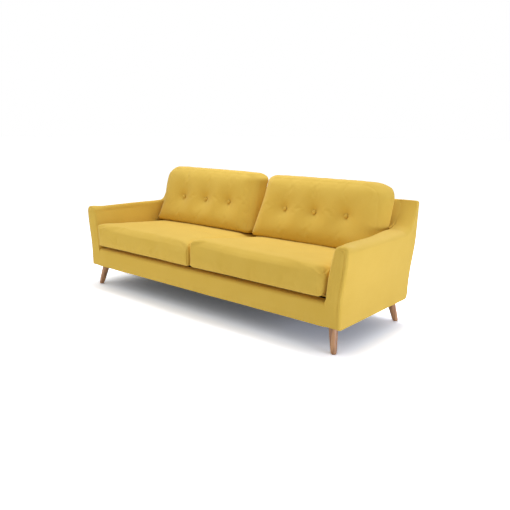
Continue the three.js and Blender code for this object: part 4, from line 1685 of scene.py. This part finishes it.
@dataclass
class BackCushion:
    """A filled back cushion, pulled in by a row of covered buttons."""

    edge: float = 0.028
    step: float = 0.0095
    rear_square: float = 6.0
    thickness: float = 0.147
    inner_corner: Pair = (0.078, 0.048)
    outer_corner: tuple[Pair, ...] = ((0.100, 0.070), (0.150, 0.090))
    rear_outer_round: Pair = (0.030, 0.050)
    top_crown: float = 0.004
    left_tilt: float = 0.003
    foot_round: float = 0.034
    outer_side_round: Pair = (0.044, 0.060)
    inner_side_round: Pair = (0.074, 0.044)
    inner_bulge: float = 0.010
    front_top_round: float = 0.056
    height: float = 0.4165
    extra_left: float = 0.009
    foot_drop: Pair = (0.004, 0.010)
    groove: Pair = (0.0, 0.010)
    inner_gap: float = 0.001
    rake: float = 11.0
    foot_level: float = 0.080
    top_level: float = 0.180
    tip_share: float = 0.62
    spread: Pair = (0.034, 0.010)
    face_taper: float = 0.084
    belly: float = 0.016
    pull_radius: float = 0.046
    held_radius: float = 0.016
    pull_flat: float = 0.008
    pull_power: float = 1.4
    belly_power: Pair = (0.8, 3)
    bulge_place: Pair = (0.90, 0.09)
    bulge_end: Pair = (0.8, 0.2)
    groove_place: Pair = (0.55, 0.28)
    groove_fade: Pair = (0.60, 0.25)
    spread_rise: Pair = (1.8, 0.5)
    end_room: float = 0.002
    rear_room: Pair = (0.002, 0.001)
    seam_depth: float = 0.0015
    seam_hold: float = 0.5
    rear_share: float = 0.62
    inner_share: float = 0.97
    filling: Filling = Filling(pressure=3.5, cap=0.014, slack=0.004, bending=2.0)
    slot: str = "mustard_fabric"

    def buttons(self, side: Side) -> list[Vector]:
        """Middles of this cushion's buttons."""
        boxes = [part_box(f"back_button_{side.word}_{i}") for i in (1, 2, 3)]
        return [(low + high) / 2 for low, high in boxes]

    def build(self, side: Side) -> bpy.types.Object:
        """Makes one back cushion.

        Args:
            side: Which one.

        Returns:
            The cushion.
        """
        node = f"back_cushion_{side.word}"
        low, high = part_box(node)
        raised = self.extra_left if side is Side.LEFT else 0.0
        height = self.height + raised + self.foot_drop[side.index]
        outer_end = max(abs(low.x), abs(high.x)) - self.end_room
        thickness = self.thickness
        size = Vector((outer_end - self.inner_gap, thickness, height))
        block = PaddedBlock(size, self.edge, self.step, rear_square=self.rear_square)
        block.round_corner(0, 2, (side.value, 1), *self.outer_corner[side.index])
        block.round_corner(0, 2, (-side.value, 1), *self.inner_corner)
        for end in (-1, 1):
            block.round_corner(0, 2, (end, -1), self.foot_round)
        block.round_corner(0, 1, (side.value, -1), self.outer_side_round[side.index])
        block.round_corner(0, 1, (-side.value, -1), self.inner_side_round[side.index])
        block.round_corner(0, 1, (side.value, 1), self.rear_outer_round[side.index])
        block.round_corner(2, 1, (1, -1), self.front_top_round)
        self.shape(block, thickness, side)
        turn = Matrix.Rotation(-math.radians(self.rake), 4, "X")
        up = turn @ Vector((0, 0, 1))
        out = turn @ Vector((0, -1, 0))
        middle_x = side.value * (outer_end + self.inner_gap) / 2
        rear_room, top_room = self.rear_room
        rear_top = Vector((middle_x, high.y - rear_room, high.z - top_room))
        centre = rear_top - up * (height / 2 + self.end_room - raised) + out * (thickness / 2)
        place = Matrix.Translation(centre) @ turn
        held = self.pull_buttons(block, place, side)
        round_panel = (Face.LEFT, Face.RIGHT, Face.TOP, Face.UNDER)
        seams = block.on_seam(Face.FRONT, *round_panel) | block.on_seam(Face.REAR, *round_panel)
        piece = block.build(f"{side.word}_back_cushion_cover", self.slot)
        held = np.maximum(held, np.where(seams, self.seam_hold, 0.0))
        held[block.share[:, 1] > self.rear_share] = 1.0
        held[-block.share[:, 0] * side.value > self.inner_share] = 1.0
        self.filling.swell(piece, held)
        finish_cushion(piece, seams, self.seam_depth)
        piece.data.transform(place)
        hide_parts(node)
        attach(piece, f"{side.word}_back")
        return piece

    def shape(self, block: PaddedBlock, thickness: float, side: Side) -> None:
        """Thins the cushion to its top, draws the face in and gives it a belly.

        Args:
            block: The block, which is changed.
            thickness: At the foot.
            side: Which cushion it is.
        """
        x, y, z = block.share.T
        up = (z + 1) / 2
        forward = (1 - y) / 2
        share = 1 + (self.tip_share - 1) * up
        depth = (block.points[:, 1] - thickness / 2) * share + thickness / 2
        up_power, end_power = self.belly_power
        bulge = np.sin(np.pi * np.clip(up, 0, 1) ** up_power)
        bulge *= np.maximum(0, 1 - np.abs(x) ** end_power)
        block.points[:, 1] = depth - self.belly * bulge * forward
        level = self.foot_level + (self.top_level - self.foot_level) * up
        block.points[:, 2] -= (thickness / 2 - depth) * level + self.top_crown * up * x**4
        if side is Side.LEFT:
            block.points[:, 2] -= self.left_tilt * up * x
            height, reach = self.bulge_place
            start, run = self.bulge_end
            near_top = np.exp(-(((up - height) / reach) ** 2)) * smooth((x - start) / run)
            block.points[:, 0] += self.inner_bulge * near_top
        block.points[:, 0] -= self.face_taper * x * forward * up
        place, reach = self.groove_place
        start, run = self.groove_fade
        cleft = np.maximum(0, -x * side.value) ** 4 * np.exp(-(((forward - place) / reach) ** 2))
        cleft *= 1 - smooth((up - start) / run)
        block.points[:, 0] += side.value * self.groove[side.index] * cleft
        rise, start = self.spread_rise
        outward = np.maximum(0, x * side.value) * smooth(up * rise - start)
        block.points[:, 0] += side.value * self.spread[side.index] * outward

    def pull_buttons(self, block: PaddedBlock, place: Matrix, side: Side) -> np.ndarray:
        """Pulls the face in at each button.

        Args:
            block: The block, which is changed.
            place: The matrix that puts the block in its place.
            side: Which cushion it is.

        Returns:
            For each vertex, how firmly a button holds it.
        """
        back = place.inverted()
        front = block.share[:, 1] < 0
        held = np.zeros(len(block.points))
        for middle in self.buttons(side):
            spot = back @ middle
            across = np.hypot(block.points[:, 0] - spot.x, block.points[:, 2] - spot.z)
            away = np.maximum(0, across - self.pull_flat) / self.pull_radius
            pull = np.exp(-(away**self.pull_power)) * front
            target = np.minimum(0.0, block.points[:, 1] - spot.y)
            block.points[:, 1] -= target * pull
            held[(across < self.held_radius) & front] = 1.0
        return held


@dataclass
class Button:
    """A tufting button covered in the sofa's cloth."""

    radius: float = 0.0135
    height: float = 0.010
    proud: float = 0.004
    lean: float = 20.0
    sides: int = 28
    rows: int = 9
    flat_end: float = 0.04
    fullness: float = 0.75
    slot: str = "button_fabric"

    def build(self, side: Side, number: int) -> bpy.types.Object:
        """Makes one button.

        Args:
            side: The cushion that it is on.
            number: Its place in the row.

        Returns:
            The button.
        """
        node = f"back_button_{side.word}_{number}"
        low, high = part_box(node)
        rings = []
        for i in range(self.rows):
            share = self.flat_end + (1 - 2 * self.flat_end) * i / (self.rows - 1)
            turn = math.pi * share
            radius = self.radius * math.sin(turn) ** self.fullness
            rise = -self.height / 2 * math.cos(turn)
            rings.append([
                (radius * math.cos(a), -rise, radius * math.sin(a))
                for a in np.linspace(0, math.tau, self.sides, endpoint=False)
            ])
        skin = Skin()
        starts = skin.add_rings(rings, around=True)
        skin.cap(starts[0], self.sides)
        skin.cap(starts[-1], self.sides, flip=True)
        piece = skin.build(f"{node}_cover", self.slot)
        face_out(piece)
        turn = Matrix.Rotation(-math.radians(self.lean), 4, "X")
        out = turn @ Vector((0, -self.proud, 0))
        piece.data.transform(Matrix.Translation((low + high) / 2 + out) @ turn)
        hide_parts(node)
        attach(piece, f"{side.word}_back")
        return piece


# ---------------------------------------------------------------- legs


@dataclass
class Leg:
    """A turned, tapered leg, splayed both ways and cut level at its ends."""

    top_radius: float = 0.025
    foot_radius: float = 0.0165
    foot_edge: float = 0.002
    entasis: float = 0.0006
    sides: int = 56
    rows: int = 22
    slot: str = "leg_wood"

    def build(self, end: str, side: Side) -> bpy.types.Object:
        """Makes one leg.

        Args:
            end: "front" or "rear".
            side: Which side of the sofa it is on.

        Returns:
            The leg.
        """
        node = f"{end}_{side.word}_leg"
        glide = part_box(f"{end}_{side.word}_floor_glide")
        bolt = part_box(f"{node}_bolt")
        low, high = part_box(node)
        foot = (glide[0] + glide[1]) / 2
        top = (bolt[0] + bolt[1]) / 2
        axis = (top - foot).normalized()
        u = axis.cross(Vector((0, 1, 0))).normalized()
        v = axis.cross(u)
        skin = Skin()
        rings = []
        for i in range(self.rows + 1):
            share = i / self.rows
            height = low.z + (high.z - low.z) * share
            radius = self.foot_radius + (self.top_radius - self.foot_radius) * share
            radius += self.entasis * math.sin(math.pi * share)
            radius -= arc_inset(height - low.z, self.foot_edge)
            centre = foot + axis * ((height - foot.z) / axis.z)
            rings.append([
                self.rim(centre, axis, (u, v), radius, math.tau * step / self.sides)
                for step in range(self.sides)
            ])
        starts = skin.add_rings(rings, around=True)
        skin.cap(starts[0], self.sides)
        skin.cap(starts[-1], self.sides, flip=True)
        piece = skin.build(f"{node}_turned", self.slot)
        face_out(piece)
        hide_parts(node)
        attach(piece, "frame")
        return piece

    @staticmethod
    def rim(
        centre: Vector, axis: Vector, square: tuple[Vector, Vector], radius: float, turn: float
    ) -> Triple:
        """A point of a ring, slid along the leg's axis until it is level with the others.

        Args:
            centre: The ring's centre.
            axis: The leg's direction.
            square: Two directions square to it.
            radius: The ring's radius.
            turn: The point's angle round the ring.

        Returns:
            The point.
        """
        u, v = square
        point = centre + u * (radius * math.cos(turn)) + v * (radius * math.sin(turn))
        return tuple(point + axis * ((centre.z - point.z) / axis.z))


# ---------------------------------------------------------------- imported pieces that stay


def dress_packed_nodes() -> int:
    """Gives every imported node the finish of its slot.

    Returns:
        How many nodes were dressed.
    """
    slots = {part["node"]: part["material_slot"] for part in frame["record"]["subparts"]}
    for name, node in frame["nodes"].items():
        node.data.materials.clear()
        node.data.materials.append(wardrobe.material(slots[name]))
    return len(slots)


# ---------------------------------------------------------------- studio


@dataclass(frozen=True)
class Lamp:
    """A soft box: where it is, where it looks, its size and its power."""

    name: str
    place: Triple
    target: Triple
    size: Pair
    power: float
    color: Color = (1.0, 1.0, 1.0)

    def build(self) -> None:
        """Hangs the lamp."""
        light = bpy.data.lights.new(self.name, "AREA")
        light.shape = "RECTANGLE"
        light.size, light.size_y = self.size
        light.energy = self.power
        light.color = self.color
        lamp = bpy.data.objects.new(self.name, light)
        aim = Vector(self.target) - Vector(self.place)
        turn = aim.to_track_quat("-Z", "Y").to_matrix().to_4x4()
        lamp.matrix_world = Matrix.Translation(self.place) @ turn
        bpy.context.scene.collection.objects.link(lamp)


COOL: Color = (0.95, 1.0, 1.22)


@dataclass
class Studio:
    """The floor, the lamps, the world and the camera."""

    camera_place: Triple = (2.4626, -2.3029, 1.1386)
    yaw: float = 40.261
    pitch: float = 12.740
    roll: float = 0.474
    lens: float = 39.45
    horizon_level: float = 0.06
    zenith_level: float = 0.84
    right_falloff: float = 0.55
    rear_falloff: float = 0.10
    floor_reach: float = 60.0
    floor_plain: Color = (0.9, 0.9, 0.9)
    floor_white: Color = (1.86, 1.9, 1.95)
    lamps: tuple[Lamp, ...] = (
        Lamp("overhead", (-0.1, 0.62, 3.2), (0, 0, 0.3), (2.4, 1.8), 61.0, COOL),
        Lamp("right_side", (2.8, -0.1, 0.44), (1.1, 0.05, 0.40), (1.5, 0.5), 17.6, COOL),
        Lamp("front", (-1.3, -3.3, 0.25), (-0.3, 0, 0.25), (3.0, 0.6), 26.0, (1.0, 0.99, 0.96)),
    )

    def build(self) -> None:
        """Sets the studio up."""
        scene = bpy.context.scene
        scene.view_settings.view_transform = "Standard"
        self.set_camera(scene)
        self.set_world(scene)
        self.lay_floor()
        for lamp in self.lamps:
            lamp.build()

    def set_camera(self, scene: bpy.types.Scene) -> None:
        """Places the camera, measured from the sofa's front plane.

        Args:
            scene: The scene.
        """
        camera = bpy.data.cameras.new("camera")
        camera.sensor_width = 36.0
        camera.lens = self.lens
        yaw, pitch, roll = (math.radians(a) for a in (self.yaw, self.pitch, self.roll))
        ahead = Vector((
            -math.sin(yaw) * math.cos(pitch),
            math.cos(yaw) * math.cos(pitch),
            -math.sin(pitch),
        ))
        level = ahead.cross(Vector((0, 0, 1))).normalized()
        above = level.cross(ahead)
        right = level * math.cos(roll) + above * math.sin(roll)
        up = above * math.cos(roll) - level * math.sin(roll)
        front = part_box("front_border")[0].y
        viewer = bpy.data.objects.new("camera", camera)
        turn = Matrix((right, up, -ahead)).transposed().to_4x4()
        place = Vector(self.camera_place) + Vector((0, front, 0))
        viewer.matrix_world = Matrix.Translation(place) @ turn
        scene.collection.objects.link(viewer)
        scene.camera = viewer

    def set_world(self, scene: bpy.types.Scene) -> None:
        """Makes the surroundings: white to look at, softer as a light.

        Args:
            scene: The scene.
        """
        scene.world = bpy.data.worlds.new("surroundings")
        board = Board(scene.world, "Background")
        looks, shines = (
            board.add("ShaderNodeLightPath", output=f"Is {ray} Ray") for ray in ("Camera", "Glossy")
        )
        seen = board.add("ShaderNodeMath", {"operation": "MAXIMUM"}, {0: looks, 1: shines})
        x, y, z = board.add("ShaderNodeTexCoord", output="Generated").apart()
        levels = {"Value": z, "To Min": self.horizon_level, "To Max": self.zenith_level}
        dome = board.add("ShaderNodeMapRange", {}, levels)
        dome = dome * (1 - x * self.right_falloff - y * self.rear_falloff)
        strength = {"Value": seen, "To Min": dome, "To Max": 1.0}
        board.set("Color", (1.0, 1.0, 1.0))
        board.set("Strength", board.add("ShaderNodeMapRange", {}, strength))

    def lay_floor(self) -> None:
        """Lays a pale floor that keeps the sofa's shadow."""
        material = bpy.data.materials.new("floor")
        board = Board(material)
        board.tree.nodes.remove(board.surface)
        seen = board.add("ShaderNodeLightPath", output="Is Camera Ray")
        plain, bright = (
            board.add("ShaderNodeBsdfDiffuse", {}, {"Color": color})
            for color in (self.floor_plain, self.floor_white)
        )
        mixed = board.add("ShaderNodeMixShader", {}, {0: seen, 1: plain, 2: bright})
        board.plug(board.tree.nodes["Material Output"].inputs["Surface"], mixed)
        reach = self.floor_reach
        corners = [(-reach, -reach, 0), (reach, -reach, 0), (reach, reach, 0), (-reach, reach, 0)]
        mesh = bpy.data.meshes.new("floor")
        mesh.from_pydata(corners, [], [(0, 1, 2, 3)])
        mesh.materials.append(material)
        floor = bpy.data.objects.new("floor", mesh)
        bpy.context.scene.collection.objects.link(floor)


# ---------------------------------------------------------------- the sofa


def sofa_pieces() -> Iterator[bpy.types.Object]:
    """Builds the sofa.

    Returns:
        Its pieces, each as soon as it is made.
    """
    yield from Upholstery(Body()).build()
    yield Sheet("seat_deck", sag=0.004, thickness=0.008, slot="mustard_fabric").build()
    yield Sheet("dust_cover", sag=0.003, thickness=0.0015, slot="lining_cloth").build()
    for side in Side:
        yield SeatCushion().build(side)
        yield BackCushion().build(side)
        for number in (1, 2, 3):
            yield Button().build(side, number)
        for end in ("front", "rear"):
            yield Leg().build(end, side)


def main() -> None:
    """Builds the studio and the sofa."""
    logging.basicConfig(level=logging.INFO, format="%(name)s: %(message)s")
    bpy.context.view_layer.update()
    Studio().build()
    log.info("studio ready")
    log.info("%d packed nodes dressed", dress_packed_nodes())
    for piece in sofa_pieces():
        log.info("%s: %d vertices", piece.name, len(piece.data.vertices))


if __name__ == "__main__":
    main()
